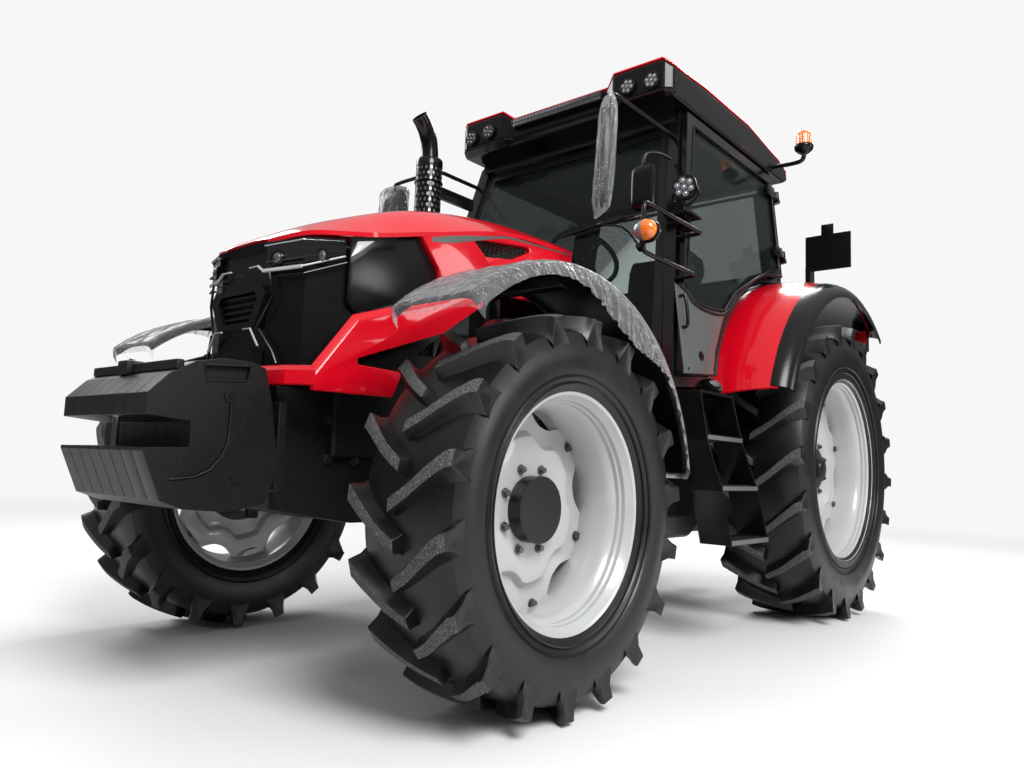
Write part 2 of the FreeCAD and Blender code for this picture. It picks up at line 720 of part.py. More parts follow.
# Ballast weights: C-shaped castings hung side by side, with a slot open to the front.
WEIGHT_OUTLINE = [
    # back from the noses, height
    (0, 930),
    (60, 992),
    (135, 1035),
    (225, 1055),
    (320, 1055),
    (370, 1040),
    (400, 935),
    (size("weight_depth"), 720),
    (395, 612),
    (265, 590),
    (130, 600),
    (60, 625),
    (0, 765),
    (0, 775),
    (135, 780),
    (135, 856),
    (0, 868),
]
nose_y = -size("overall_length") / 2
weight_pitch = size("weight_thickness") + size("weight_gap")
weight_count = int(size("weight_count"))
weight_thickness = size("weight_thickness")
# Each casting has a hand grip pressed into its outer face, and a shallow groove round the foot of the slot's arm.
GRIP_OUTLINE = [(164, 1028), (315, 1040), (306, 992), (172, 980)]
GRIP_DEPTH = 14
GROOVE_OUTLINE = [
    (254, 915), (254, 850), (251, 800), (234, 755), (199, 718), (149, 698), (90, 690),
    (90, 682), (152, 690), (204, 711), (241, 751), (259, 798), (262, 850), (262, 915),
]
GROOVE_DEPTH = 4


def weight_side(outline, across, thickness):
    """An outline of places behind the noses, as a plate that starts at a distance across."""
    return prism([Vector(across, nose_y + back, height) for back, height in outline], Vector(thickness, 0, 0))


half_set = []
for i in range(weight_count // 2):
    inside = i * weight_pitch + size("weight_gap") / 2
    outside = inside + weight_thickness
    casting = weight_side(WEIGHT_OUTLINE, inside, weight_thickness)
    grip = weight_side(GRIP_OUTLINE, outside - GRIP_DEPTH, GRIP_DEPTH)
    groove = weight_side(GROOVE_OUTLINE, outside - GROOVE_DEPTH, GROOVE_DEPTH)
    half_set.append(casting.cut(grip).cut(groove))
mirrored_half = [casting.mirror(Vector(), Vector(1, 0, 0)) for casting in reversed(half_set)]
solid_node("weights", Part.makeCompound(mirrored_half + half_set))


# Fuel tank, battery box and steps.

tank = padded("tank_shell", "XZ_Plane", [
    ("dims.gearbox_width / 2 + dims.seat_gap", "dims.gearbox_floor + 30"),
    ("dims.cab_side - 160", "dims.gearbox_floor - 50"),
    ("dims.cab_side - 70", "dims.gearbox_floor + 60"),
    ("dims.cab_side - 40", "dims.floor_height - 60"),
    ("dims.gearbox_width / 2 + dims.seat_gap", "dims.floor_height - 60"),
], "640")
put(tank, "0", "260", "0")
node("fuel_tanks", both_sides("fuel_tanks", tank))

STEP_TREADS = [
    # outer edge across, front, back, height
    (985, -195, 165, 905),
    (1020, -120, 260, 690),
    (1050, -90, 310, 460),
]


def step_ladder():
    depth = 145
    thick = 24
    rail = 8
    top = [(960, -215, 110, size("floor_height") - 6)]
    pieces = []
    for outer, front, back, height in STEP_TREADS:
        pieces.append(Part.makeBox(depth, back - front, thick, Vector(outer - depth, front, height)))
    levels = top + STEP_TREADS
    for edge in (1, 2):
        inward = rail if edge == 1 else -rail
        sections = []
        for level in levels:
            outer, at, height = level[0], level[edge], level[3]
            y_low, y_high = sorted((at, at + inward))
            sections.append([
                Vector(outer - depth, y_low, height),
                Vector(outer, y_low, height),
                Vector(outer, y_high, height),
                Vector(outer - depth, y_high, height),
            ])
        for above, below in zip(sections, sections[1:]):
            pieces.append(ruled([above, below]))
    outer, front, back, height = top[0]
    top = size("floor_height") - size("seat_gap")
    pieces.append(Part.makeBox(outer - 700, back - front, 12, Vector(700, front, top - 12)))
    return pieces[0].fuse(pieces[1:]).removeSplitter()


ladder = step_ladder()
ladder_right = ladder.mirror(Vector(), Vector(1, 0, 0))
solid_node("steps", Part.makeCompound([ladder, ladder_right]))


# Cab: floor with arch walls, leaning side frames, glass, doors and roof.

floor_top = "dims.floor_height + dims.floor_thickness"
floor_plate = padded("floor_plate", "XY_Plane", [
    ("-dims.floor_half_width", "dims.cab_front"),
    ("dims.floor_half_width", "dims.cab_front"),
    ("dims.floor_half_width", "160"),
    ("dims.arch_wall + dims.arch_wall_thickness", "230"),
    ("dims.arch_wall + dims.arch_wall_thickness", "dims.cab_back"),
    ("-dims.arch_wall - dims.arch_wall_thickness", "dims.cab_back"),
    ("-dims.arch_wall - dims.arch_wall_thickness", "230"),
    ("-dims.floor_half_width", "160"),
], "dims.floor_thickness")
put(floor_plate, "0", "0", "dims.floor_height")
arch_wall = padded("arch_wall_plate", "YZ_Plane", [
    ("230", "dims.floor_height"),
    ("dims.cab_back", "dims.floor_height"),
    ("dims.cab_back", "dims.waist_height - 53"),
    ("1000", "dims.waist_height - 93"),
    ("640", "dims.waist_height - 273"),
    ("400", "dims.waist_height - 503"),
], "dims.arch_wall_thickness")
put(arch_wall, "dims.arch_wall", "0", "0")
cab_tub = fuse("cab_tub", [
    floor_plate,
    arch_wall,
    mirrored("arch_wall_right", arch_wall),
    block("rear_wall", ("-dims.arch_wall", "dims.cab_back - dims.rear_wall", "dims.floor_height"),
          ("dims.arch_wall", "dims.cab_back", "dims.waist_height")),
    block("front_cab_mount", ("-dims.gearbox_width / 2", "0", "dims.gearbox_roof"),
          ("dims.gearbox_width / 2", "90", "dims.floor_height")),
    block("rear_cab_mount", ("-dims.gearbox_width / 2", "860", "dims.gearbox_roof"),
          ("dims.gearbox_width / 2", "950", "dims.floor_height")),
])
node("cab_tub", cab_tub)

lean = size("cab_lean")
cab_side = size("cab_side")
sill = size("sill_height")
side_turn = Rotation(Vector(0, 1, 0), -lean)
side_place = Placement(Vector(cab_side, 0, sill), side_turn)
slope = math.cos(math.radians(lean))


def on_side(along, height, out):
    """A point of the left cab side: along Y, a height above ground, and out from the frame's face."""
    return side_place.multVec(Vector(out, along, (height - sill) / slope))


def side_plate(points, inner, outer):
    """A plate of the leaning cab side between two distances from its face."""
    base = [on_side(along, height, inner) for along, height in points]
    return prism(base, side_turn.multVec(Vector(outer - inner, 0, 0)))


def side_ring(outside, inside, inner, outer):
    return side_plate(outside, inner, outer).cut(side_plate(inside, inner - 5, outer + 5))


# Left side outlines as along Y and height.
FRAME_OUTSIDE = [
    (-245, 1130), (150, 1170), (200, 1300), (330, 1470), (530, 1645), (780, 1790), (985, 1862),
    (1235, 1905), (1275, 2585), (125, 2585), (-225, 1215),
]
FRAME_INSIDE = [
    (-150, 1220), (120, 1245), (165, 1345), (300, 1520), (505, 1700), (760, 1845), (980, 1915),
    (1155, 1945), (1195, 2520), (165, 2520), (-150, 1290),
]
DOOR_OUTSIDE = [
    (-205, 1185), (140, 1215), (188, 1325), (318, 1495), (518, 1672), (770, 1818), (980, 1889),
    (1190, 1925), (1226, 2560), (140, 2560), (-205, 1205),
]
DOOR_WINDOW = [
    (-80, 1590), (-30, 1555), (110, 1540), (310, 1560), (475, 1690), (640, 1765), (800, 1835),
    (985, 1915), (1150, 1965), (1180, 2500), (195, 2500), (-75, 1610),
]
frame_depth = size("pillar_depth")
door_in = size("door_inner")
door_out = door_in + size("door_thickness")
frame_side = side_ring(FRAME_OUTSIDE, FRAME_INSIDE, -frame_depth, 0)
header = size("header_height")
header_y = size("header_y")
foot = size("screen_foot")
waist = size("waist_height")
waist_top = waist + size("waist_rail")
cab_back = size("cab_back")
cross_beams = [
    # low corner, high corner of beams that tie both sides
    (Vector(-790, size("cab_front"), foot - 60), Vector(790, size("cab_front") + 52, foot)),
    (Vector(-640, header_y - 33, header), Vector(640, header_y + 27, size("roof_bottom"))),
    (Vector(-640, cab_back - 45, header), Vector(640, cab_back + 15, size("roof_bottom"))),
    (Vector(-740, cab_back - 50, waist), Vector(740, cab_back + 10, waist_top)),
]
beams = [Part.makeBox(*(high - low), low) for low, high in cross_beams]

# Door hinges: the pillar carries a bracket with an upright pin, the door an eye on it.
hinge_out = door_out + 10
hinge_back = 18
HINGES = [(1228, 2420), (1196, 2040)]
hinge_base = on_side(1190 + hinge_back, 1925, hinge_out)
hinge_top = on_side(1228 + hinge_back, 2560, hinge_out)
hinge_line = (hinge_top - hinge_base).normalize()
pin_radius = size("hinge_pin_radius")
eye_length = 50
ear_length = 22


def hinge_point(height):
    share = (height - hinge_base.z) / hinge_line.z
    return hinge_base + hinge_line * share


def hinge_ear(height):
    """Bracket from the pillar to the pin, under the eye."""
    centre = hinge_point(height)
    across = side_turn.multVec(Vector(1, 0, 0))
    back = hinge_line.cross(across)
    reach = hinge_out + 25
    corner = centre + across * 14 + hinge_line * (-ear_length)
    half = back * 14
    base = [corner - half, corner + half, corner + half - across * reach, corner - half - across * reach]
    ear = prism(base, hinge_line * ear_length)
    pin = Part.makeCylinder(pin_radius, eye_length + ear_length, centre - hinge_line * ear_length, hinge_line)
    return ear.fuse(pin)


def hinge_eye(height):
    """Eye on the pin with an arm to the door's outer face."""
    start = hinge_point(height) + hinge_line
    across = side_turn.multVec(Vector(1, 0, 0))
    back = hinge_line.cross(across)
    eye = Part.makeCylinder(15, eye_length - 2, start, hinge_line)
    corner = start - across * 10 - back * 60
    arm = prism([corner, corner + back * 60, corner + back * 60 + across * 12, corner + across * 12],
                hinge_line * (eye_length - 2))
    bore = Part.makeCylinder(pin_radius + size("pin_clearance"), 2 * eye_length, start - hinge_line * 20, hinge_line)
    return eye.fuse(arm).cut(bore)


ears = [hinge_ear(height) for _, height in HINGES]
left_frame = frame_side.fuse(ears)
right_frame = left_frame.mirror(Vector(), Vector(1, 0, 0))
cab_frame = left_frame.fuse([right_frame] + beams).removeSplitter()
solid_node("cab_frame", cab_frame)

door_ring = side_ring(DOOR_OUTSIDE, DOOR_WINDOW, door_in, door_out)
door_left = door_ring.fuse([hinge_eye(height) for _, height in HINGES]).removeSplitter()
solid_node("door_left", door_left)
solid_node("door_right", door_left.mirror(Vector(), Vector(1, 0, 0)))

glass_mid = (door_in + door_out) / 2
door_pane = side_plate(DOOR_WINDOW, glass_mid, glass_mid + size("glass_thickness"))
solid_node("door_glass_left", door_pane)
solid_node("door_glass_right", door_pane.mirror(Vector(), Vector(1, 0, 0)))


def pane(name, corners, thickness):
    """A flat pane through four corners."""
    normal = (corners[1] - corners[0]).cross(corners[2] - corners[0]).normalize()
    return solid_node(name, prism(corners, normal * thickness))


def pane_edge(height):
    """Half width of a pane seated between the side frames."""
    return cab_side - (height - sill) * math.tan(math.radians(lean)) - frame_depth / slope - size("seat_gap")


screen_low = foot + size("seat_gap")
screen_high = header - size("glass_thickness") / 2
low_x = pane_edge(screen_low)
high_x = pane_edge(screen_high)
pane("windscreen", [
    Vector(low_x, size("screen_foot_y"), screen_low),
    Vector(high_x, header_y, screen_high),
    Vector(-high_x, header_y, screen_high),
    Vector(-low_x, size("screen_foot_y"), screen_low),
], size("glass_thickness"))
back_low = waist_top + size("seat_gap") + 0.1
back_high = screen_high
back_low_x = pane_edge(back_low)
back_high_x = pane_edge(back_high)
pane("rear_window", [
    Vector(back_low_x, cab_back - 25, back_low),
    Vector(-back_low_x, cab_back - 25, back_low),
    Vector(-back_high_x, cab_back - 10, back_high),
    Vector(back_high_x, cab_back - 10, back_high),
], size("glass_thickness"))

ROOF_STATIONS = [
    # share of the half width, front, height of the front's top edge, height of the crown, sides' drop at the rear
    (0.0, -20, -62, 0, 0),
    (0.45, -20, -62, 0, 0),
    (0.53, -52, -16, -2, 0),
    (0.94, -52, -16, -4, 8),
    (1.0, -18, -50, -34, 20),
]
roof_half = size("roof_half_width")
roof_low = size("roof_bottom")
roof_high = size("roof_top")
ROOF_BACK = 1460


def roof_top_line(station, lift):
    """Front edge, brow, crown and rear of the roof's top, at a height over the dark body."""
    _, front, brow, crown, drop = station
    spots = ((front, brow), (60, brow), (330, crown), (900, crown), (1340, -72 - drop),
             (ROOF_BACK - 8, -112 - drop / 2))
    return [(y, roof_high + z + lift) for y, z in spots]


def roof_sections(outline_of):
    """Sections from the right side to the left, mirrored about the middle."""
    stations = ROOF_STATIONS[:0:-1] + ROOF_STATIONS
    signs = [-1] * (len(ROOF_STATIONS) - 1) + [1] * len(ROOF_STATIONS)
    return [[Vector(sign * s[0] * roof_half, y, z) for y, z in outline_of(s)] for sign, s in zip(signs, stations)]


def roof_outline(station):
    front = station[1]
    under = [(0, roof_low), (front, roof_low + 32)]
    return under + roof_top_line(station, 0) + [(ROOF_BACK, roof_low + 30), (1400, roof_low)]


def cap_outline(station):
    gap = size("seat_gap")
    under = roof_top_line(station, gap)
    over = roof_top_line(station, size("roof_cap_thickness"))
    return under + over[::-1]


solid_node("roof", plated(roof_sections(roof_outline)))
solid_node("roof_cap", plated(roof_sections(cap_outline)))

# Fenders over the rear wheels.
rear_fender = doc.addObject("PartDesign::Body", "rear_fender_skin")
turned(rear_fender, "rear_fender_arch", [
    ("dims.arch_wall + dims.arch_wall_thickness", "dims.rear_fender_inner_radius"),
    ("dims.cab_side - 10", "dims.rear_fender_crown_radius"),
    ("dims.rear_fender_edge", "dims.rear_fender_edge_radius"),
    ("dims.rear_fender_edge", "dims.rear_fender_edge_radius - dims.fender_skin"),
    ("dims.cab_side - 10", "dims.rear_fender_crown_radius - dims.fender_skin"),
    ("dims.arch_wall + dims.arch_wall_thickness", "dims.rear_fender_inner_radius - dims.fender_skin"),
], "dims.rear_fender_sweep")
lip = doc.addObject("PartDesign::Body", "lip_skin")
turned(lip, "lip_arch", [
    ("dims.rear_fender_edge", "dims.rear_fender_edge_radius"),
    ("dims.rear_fender_edge + dims.lip_width", "dims.rear_fender_edge_radius - dims.lip_drop / 2"),
    ("dims.rear_fender_edge + dims.lip_width", "dims.rear_fender_edge_radius - dims.lip_drop"),
    ("dims.rear_fender_edge + dims.lip_width - 10", "dims.rear_fender_edge_radius - dims.lip_drop"),
    ("dims.rear_fender_edge", "dims.rear_fender_edge_radius - dims.fender_skin"),
], "dims.rear_fender_sweep + 10")
fender_turn = 180 - size("rear_fender_start") - size("rear_fender_sweep")
for name, skin in (("rear_fenders", rear_fender), ("fender_lips", lip)):
    skin.Placement = Placement(Vector(), Rotation(Vector(1, 0, 0), fender_turn))
    put(skin, "0", "dims.rear_axle_y", "dims.rear_tyre_radius")
    node(name, both_sides(name, skin))


# Inside the cab: dash with steering column, steering wheel and seat.

dash = padded("dash", "YZ_Plane", [
    ("-150", floor_top),
    ("-70", "1620"),
    ("20", "1830"),
    ("120", "1880"),
    ("170", "1830"),
    ("70", "1690"),
    ("-10", floor_top),
], "300")
put(dash, "-150", "0", "0")
node("dash", dash)
doc.recompute()
column_turn = Rotation(Vector(1, 0, 0), -size("column_tilt"))
column_place = Placement(Vector(0, 262, 1935), column_turn)
WHEEL_SIDES = 28
ring_corners = [(183, -13), (205, -13), (209, 0), (205, 13), (183, 13), (179, 0)]
ring_faces = []
for k in range(WHEEL_SIDES):
    here, after = (2 * math.pi * j / WHEEL_SIDES for j in (k, k + 1))
    near = [Vector(r * math.cos(here), r * math.sin(here), z) for r, z in ring_corners]
    far = [Vector(r * math.cos(after), r * math.sin(after), z) for r, z in ring_corners]
    for m in range(len(ring_corners)):
        n = (m + 1) % len(ring_corners)
        ring_faces += facets((near[m], near[n], far[n], far[m]))
rim_ring = closed(ring_faces)
spoke = Part.makeBox(380, 40, 16, Vector(-190, -20, -8))
column = Part.makeCylinder(26, 150, Vector(0, 0, -150))
steering_wheel = rim_ring.fuse([spoke, column])
steering_wheel.Placement = column_place
solid_node("steering_wheel", steering_wheel.cut(dash.Shape))
node("seat_base", padded("seat_base", "XY_Plane", [
    ("-190", "560"), ("190", "560"), ("190", "940"), ("-190", "940"),
], "330"))
put(NODES["seat_base"], "0", "0", floor_top)
seat_top = f"{floor_top} + 330"
seat_cushion = block("seat_cushion", ("-240", "520", f"{seat_top} + dims.seat_gap"),
                     ("240", "955", f"{seat_top} + 130"))
seat_back = padded("seat_back", "YZ_Plane", [
    ("955 + dims.seat_gap", f"{seat_top} + dims.seat_gap"),
    ("1060", f"{seat_top} + dims.seat_gap"),
    ("1130", "2150"),
    ("1050", "2150"),
    ("955 + dims.seat_gap", "1650"),
], "440")
put(seat_back, "-220", "0", "0")
seat = doc.addObject("Part::Compound", "seat")
seat.Links = [seat_cushion, seat_back]
node("seat", seat)


# Hood: a folded skin over leaning stations, with side panels; the dark mask and the lamps ride on it.

HOOD_STATIONS = [
    # from the front axle, half width, height at the middle, height at the crease, height at the shoulder
    (-560, 130, 1512, 1510, 1506),
    (-498, 293, 1540, 1536, 1524),
    (-309, 385, 1620, 1602, 1548),
    (0, 385, 1730, 1708, 1630),
    (430, 385, 1798, 1784, 1735),
    (870, 385, 1820, 1806, 1760),
]
hood_skin = size("hood_skin")
side_skin = size("hood_side_skin")
front_y = size("front_axle_y")
skirt = 16


def hood_section(station):
    back, half, middle, crease, shoulder = station
    y = front_y + back
    bend = 0.62 * half
    outer = [(half, shoulder - skirt), (half, shoulder), (bend, crease), (0, middle)]
    inner = [(half - side_skin, shoulder - skirt), (half - side_skin, shoulder - hood_skin),
             (bend, crease - hood_skin), (0, middle - hood_skin)]
    over = outer + [(-x, z) for x, z in reversed(outer[:-1])]
    under = [(-x, z) for x, z in inner[:-1]] + list(reversed(inner))
    return [Vector(x, y, z) for x, z in over + under]


HOOD_SIDE = [
    # from the front axle, height
    (870, 1500), (470, 1471), (405, 1488), (60, 1254), (-342, 1105), (-342, 1085), (-138, 1081),
    (-180, 986), (-513, 980), (-513, 1063), (-360, 1255), (50, 1394), (19, 1490), (-78, 1600),
    (0, 1620), (430, 1725), (870, 1750),
]
CHIN_PLAN = [(385, -513), (300, -570), (120, -600)]


def plan_band(path, thickness, low, high):
    """A band that follows a plan line from the left side round the nose to the right."""
    whole = path + [(-x, y) for x, y in reversed(path)]
    inside = [(x - math.copysign(thickness, x), y + thickness) for x, y in whole]
    points = [Vector(x, front_y + y, low) for x, y in whole + list(reversed(inside))]
    return prism(points, Vector(0, 0, high - low))


hood_half = size("hood_half_width")
VENT = [(200, 1652), (300, 1672), (548, 1706), (566, 1691), (440, 1630), (276, 1600)]
BELT_BEVEL = 11
hood_top = plated([hood_section(station) for station in HOOD_STATIONS])
panel_face = [Vector(hood_half - side_skin, front_y + y, z) for y, z in HOOD_SIDE]
hood_panel = prism(panel_face, Vector(side_skin, 0, 0))
vent_face = [Vector(hood_half - 2 * side_skin, front_y + y, z) for y, z in VENT]
vent = prism(vent_face, Vector(3 * side_skin, 0, 0))
BEVELLED = [(-513, 1063), (-360, 1255), (50, 1394), (19, 1490)]


def outer_edge(edge):
    """Whether an edge joins two of the belt's upper corners on the panel's outer face."""
    ends = [(v.Y - front_y, v.Z) for v in edge.Vertexes if abs(v.X - hood_half) < 0.1]
    return len(ends) == 2 and all(any(math.dist(end, corner) < 0.1 for corner in BEVELLED) for end in ends)


hood_panel = hood_panel.makeChamfer(BELT_BEVEL, [e for e in hood_panel.Edges if outer_edge(e)]).cut(vent)
hood_panel_right = hood_panel.mirror(Vector(), Vector(1, 0, 0))
chin = plan_band(CHIN_PLAN, side_skin, 995, 1063)
hinge_y = size("hood_hinge_y")
hinge_z = size("hood_hinge_height")
lug_in = 240
lug_out = 258
hood_lug = prism([
    Vector(lug_in, hinge_y - 20, hinge_z - 18),
    Vector(lug_in, hinge_y + 20, hinge_z - 18),
    Vector(lug_in, hinge_y + 20, 1798),
    Vector(lug_in, hinge_y - 20, 1796),
], Vector(lug_out - lug_in, 0, 0))
lug_bore_start = Vector(lug_in - 40, hinge_y, hinge_z)
hood_lug = hood_lug.cut(Part.makeCylinder(pin_radius + size("pin_clearance"), 100, lug_bore_start, Vector(1, 0, 0)))
hood_lug_right = hood_lug.mirror(Vector(), Vector(1, 0, 0))
hood_shell = hood_top.fuse([hood_panel, hood_panel_right, chin, hood_lug, hood_lug_right]).removeSplitter()
solid_node("hood_shell", hood_shell)

mask_edge = hood_half - side_skin - size("seat_gap")
mask_skin = 16
MASK_PLAN = [(mask_edge, -140), (356, -330), (285, -505), (150, -556)]
mask_front = plan_band(MASK_PLAN, mask_skin, 1064, 1488)
mask_side_points = [(-140, 1090), (40, 1230), (200, 1330), (60, 1480), (-40, 1560), (-140, 1500)]
mask_side_face = [Vector(mask_edge - mask_skin, front_y + y, z) for y, z in mask_side_points]
mask_side = prism(mask_side_face, Vector(mask_skin, 0, 0))
BROW = [
    # across, from the front axle, height of the lower edge
    (0, -578, 1471),
    (140, -573, 1471),
    (296, -520, 1478),
    (346, -392, 1494),
]


def brow_section(across, back, low, sign):
    """Four corners of the ledge in one upright plane that leans in towards the middle."""
    lip = Vector(sign * across, front_y + back, low)
    inward = Vector(-sign * across * 0.08, 46, 0)
    rise = Vector(0, 0, 17)
    return [lip, lip + rise - inward * 0.13, lip + rise + inward, lip + inward]


brow_sections = [brow_section(*spot, -1) for spot in BROW[:0:-1]] + [brow_section(*spot, 1) for spot in BROW]
brow = plated(brow_sections)
GRILLE_OUTSIDE = [(148, 1340), (171, 1307), (115, 1198), (-115, 1198), (-171, 1307), (-148, 1340)]
GRILLE_BORDER = 20
GRILLE_FRONT = -582
SLAT_COUNT = 4
grille_half_x, grille_half_z = 171, 71
grille_middle = 1269
inside_share = 1 - GRILLE_BORDER / grille_half_z
grille_y = front_y + GRILLE_FRONT
grille_wide = [Vector(x, grille_y, z) for x, z in GRILLE_OUTSIDE]
grille_centre = Vector(0, grille_y, grille_middle)
grille_hole = [grille_centre + (corner - grille_centre) * inside_share for corner in grille_wide]
frame_depth_y = Vector(0, 36, 0)
grille_frame = prism(grille_wide, frame_depth_y).cut(prism(grille_hole, frame_depth_y))
slat_pitch = 24
slat_half = grille_half_x - 30
slats = []
for k in range(SLAT_COUNT):
    height = grille_middle + (k - (SLAT_COUNT - 1) / 2) * slat_pitch
    slats.append(Part.makeBox(2 * slat_half, 20, 9, Vector(-slat_half, grille_y + 12, height)))
lip_plan = [(150, -562), (120, -590)]
mask_lip = plan_band(lip_plan, 24, 1064, 1120)
mask_parts = [mask_side, mask_side.mirror(Vector(), Vector(1, 0, 0)), grille_frame, brow, mask_lip] + slats
mask = mask_front.fuse(mask_parts).removeSplitter()
solid_node("grille_mask", mask)
LAMP_STATIONS = [
    # back of the lens and its face as across and from the front axle, lower and upper edge
    (152, -556.3, 152, -572, 1404, 1478),
    (285.3, -505.6, 293, -520, 1410, 1484),
    (334, -386, 343, -390, 1462, 1494),
]
lamp_sections = []
for back_x, back_y, face_x, face_y, low, high in LAMP_STATIONS:
    lamp_sections.append([Vector(face_x, front_y + face_y, low), Vector(face_x, front_y + face_y, high),
                          Vector(back_x, front_y + back_y, high), Vector(back_x, front_y + back_y, low)])
headlamp = plated(lamp_sections).cut(mask)
solid_node("headlamps", Part.makeCompound([headlamp, headlamp.mirror(Vector(), Vector(1, 0, 0))]))

# Cowl behind the hood, with the ears and pins of the hood's hinge.
cowl_front = size("cab_front") - size("cowl_thickness")
cowl_half = size("cowl_half_width")
cowl_plate = Part.makeBox(2 * cowl_half, size("cowl_thickness"), size("cowl_top") - size("floor_height"),
                          Vector(-cowl_half, cowl_front, size("floor_height")))
ear_out = lug_out + 2
ear = prism([
    Vector(ear_out, cowl_front, hinge_z - 100),
    Vector(ear_out, cowl_front, hinge_z),
    Vector(ear_out, hinge_y + 30, hinge_z + 15),
    Vector(ear_out, hinge_y - 15, hinge_z + 15),
    Vector(ear_out, hinge_y - 15, hinge_z - 15),
    Vector(ear_out, hinge_y + 30, hinge_z - 30),
], Vector(12, 0, 0))
hood_pin = Part.makeCylinder(pin_radius, 36, Vector(lug_in - 2, hinge_y, hinge_z), Vector(1, 0, 0))
hinge_side = ear.fuse(hood_pin)
cowl = cowl_plate.fuse([hinge_side, hinge_side.mirror(Vector(), Vector(1, 0, 0))]).removeSplitter()
solid_node("cowl", cowl)


# Things on the cab: exhaust, mirrors, lamps and beacon.

exhaust_x = -600
exhaust_y = size("engine_front") + size("engine_length") - 10
pipe = bar("exhaust_guard", (exhaust_x, exhaust_y, "1250"), "Z", "1180", "72")
TIP_STATIONS = [
    # forward, height, tilt in degrees
    (0, 2430, 0),
    (4, 2500, 8),
    (34, 2585, 28),
    (92, 2650, 48),
]
tip_sections = []
for forward, height, tilt in TIP_STATIONS:
    upward = Vector(0, math.cos(math.radians(tilt)), math.sin(math.radians(tilt)))
    tip_sections.append(loop(Vector(exhaust_x, exhaust_y - forward, height), Vector(1, 0, 0), upward, 46, 46, 16))
tip = doc.addObject("Part::Feature", "exhaust_tip")
tip.Shape = plated(tip_sections)
elbow = block("exhaust_elbow", (exhaust_x - 50, exhaust_y - 50, "1120"), (exhaust_x + 50, exhaust_y + 50, "1250"))
feed = bar("exhaust_feed", (exhaust_x, exhaust_y - 20, "1155"), "X", f"{-exhaust_x} - dims.engine_width / 2", "28")
node("exhaust", fuse("exhaust", [pipe, tip, elbow, feed]))

HEAD_CORNER = 0.22


def mirror_head(name, middle, across, depth, half_across, half_up):
    """A head with cut corners that narrows towards its back."""
    spots = []
    for shrink, shift in ((1.0, 0.0), (1.0, 0.45), (0.72, 1.0)):
        ring = []
        for a, b in ((1, -1 + HEAD_CORNER), (1, 1 - HEAD_CORNER), (1 - HEAD_CORNER, 1), (-1 + HEAD_CORNER, 1),
                     (-1, 1 - HEAD_CORNER), (-1, -1 + HEAD_CORNER), (-1 + HEAD_CORNER, -1), (1 - HEAD_CORNER, -1)):
            sideways = across * (a * half_across * shrink)
            ring.append(middle + depth * shift + sideways + Vector(0, 0, b * half_up * shrink))
        spots.append(ring)
    head = doc.addObject("Part::Feature", name)
    head.Shape = plated(spots)
    return head


mirror_left = fuse("mirror_left", [
    mirror_head("mirror_left_head", Vector(628, -505, 2105), Vector(0, 1, 0), Vector(60, 0, 0), 95, 245),
    bar("mirror_left_arm", ("652", "-488", "2290"), "Z", "140", "12"),
    bar("mirror_left_boom", ("652", "-500", "2418"), "Y", "579.8", "12"),
])
mirror_right = fuse("mirror_right", [
    mirror_head("mirror_right_head", Vector(-1025, -240, 2140), Vector(1, 0, 0), Vector(0, -60, 0), 95, 240),
    bar("mirror_right_arm", ("-1025", "-268", "2330"), "Z", "100", "12"),
    bar("mirror_right_boom", ("-1037", "-268", "2418"), "X", "397", "12"),
    bar("mirror_right_foot", ("-652", "-280", "2418"), "Y", "359.8", "12"),
])
mirrors = doc.addObject("Part::Compound", "mirrors")
mirrors.Links = [mirror_left, mirror_right]
node("mirrors", mirrors)

LAMP_RINGS = [
    # forward, half width, half height
    (0, 40, 34),
    (22, 52, 44),
    (46, 46, 38),
    (60, 24, 18),
]
lamp_rings = [loop(Vector(905, -582 - forward, 1724), Vector(1, 0, 0), Vector(0, 0, 1), wide, tall, 14)
              for forward, wide, tall in LAMP_RINGS]
egg = doc.addObject("Part::Feature", "indicator_lamp")
egg.Shape = plated(lamp_rings)
indicator = fuse("indicator", [
    egg,
    block("indicator_back", ("868", "-584", "1672"), ("888", "-560", "1790")),
    bar("indicator_stem", ("878", "-572", "1632"), "Z", "238", "11"),
    bar("indicator_tube", ("878", "-574", "1855"), "Y", "524", "10"),
    bar("indicator_tube_low", ("878", "-574", "1647"), "Y", "472", "10"),
    bar("indicator_foot", ("750.6", "-58", "1855"), "X", "139", "9"),
    bar("indicator_foot_low", ("776.2", "-107", "1647"), "X", "113", "9"),
])
node("indicator_lamps", both_sides("indicator_lamps", indicator))
work_lamp = fuse("work_lamp", [
    bar("work_lamp_head", ("850", "-200", "2040"), "Y", "70", "62"),
    block("work_lamp_stem", ("845", "-170", "1930"), ("860", "-150", "2000")),
    block("work_lamp_foot", ("738.9", "-170", "1930"), ("860", "-26", "1945")),
])
ROOF_LAMPS = [
    # across, above the roof's lower face
    (465, 95),
    (602, 87),
]
roof_lamp_bars = []
for i, (across, height) in enumerate(ROOF_LAMPS):
    for side_name, sign in (("left", 1), ("right", -1)):
        lamp_back = (sign * across, f"{ROOF_STATIONS[2][1]} - 18", f"dims.roof_bottom + {height}")
        roof_lamp_bars.append(bar(f"roof_lamp_{side_name}_{i}", lamp_back, "Y",
                                  "18 - dims.seat_gap", "45"))
roof_lamps = doc.addObject("Part::Compound", "roof_lamps")
roof_lamps.Links = roof_lamp_bars + [
    block("light_bar", ("-300", "-62", "dims.roof_bottom + 80"),
          ("300", f"{ROOF_STATIONS[0][1]} - dims.seat_gap", "dims.roof_bottom + 125")),
    work_lamp,
    mirrored("work_lamp_right", work_lamp),
]
node("work_lamps", roof_lamps)
BEACON_RINGS = [
    # above the roof's lower face, radius
    (75, 22),
    (95, 52),
    (121, 54),
    (127, 46),
    (191, 44),
    (205, 34),
]
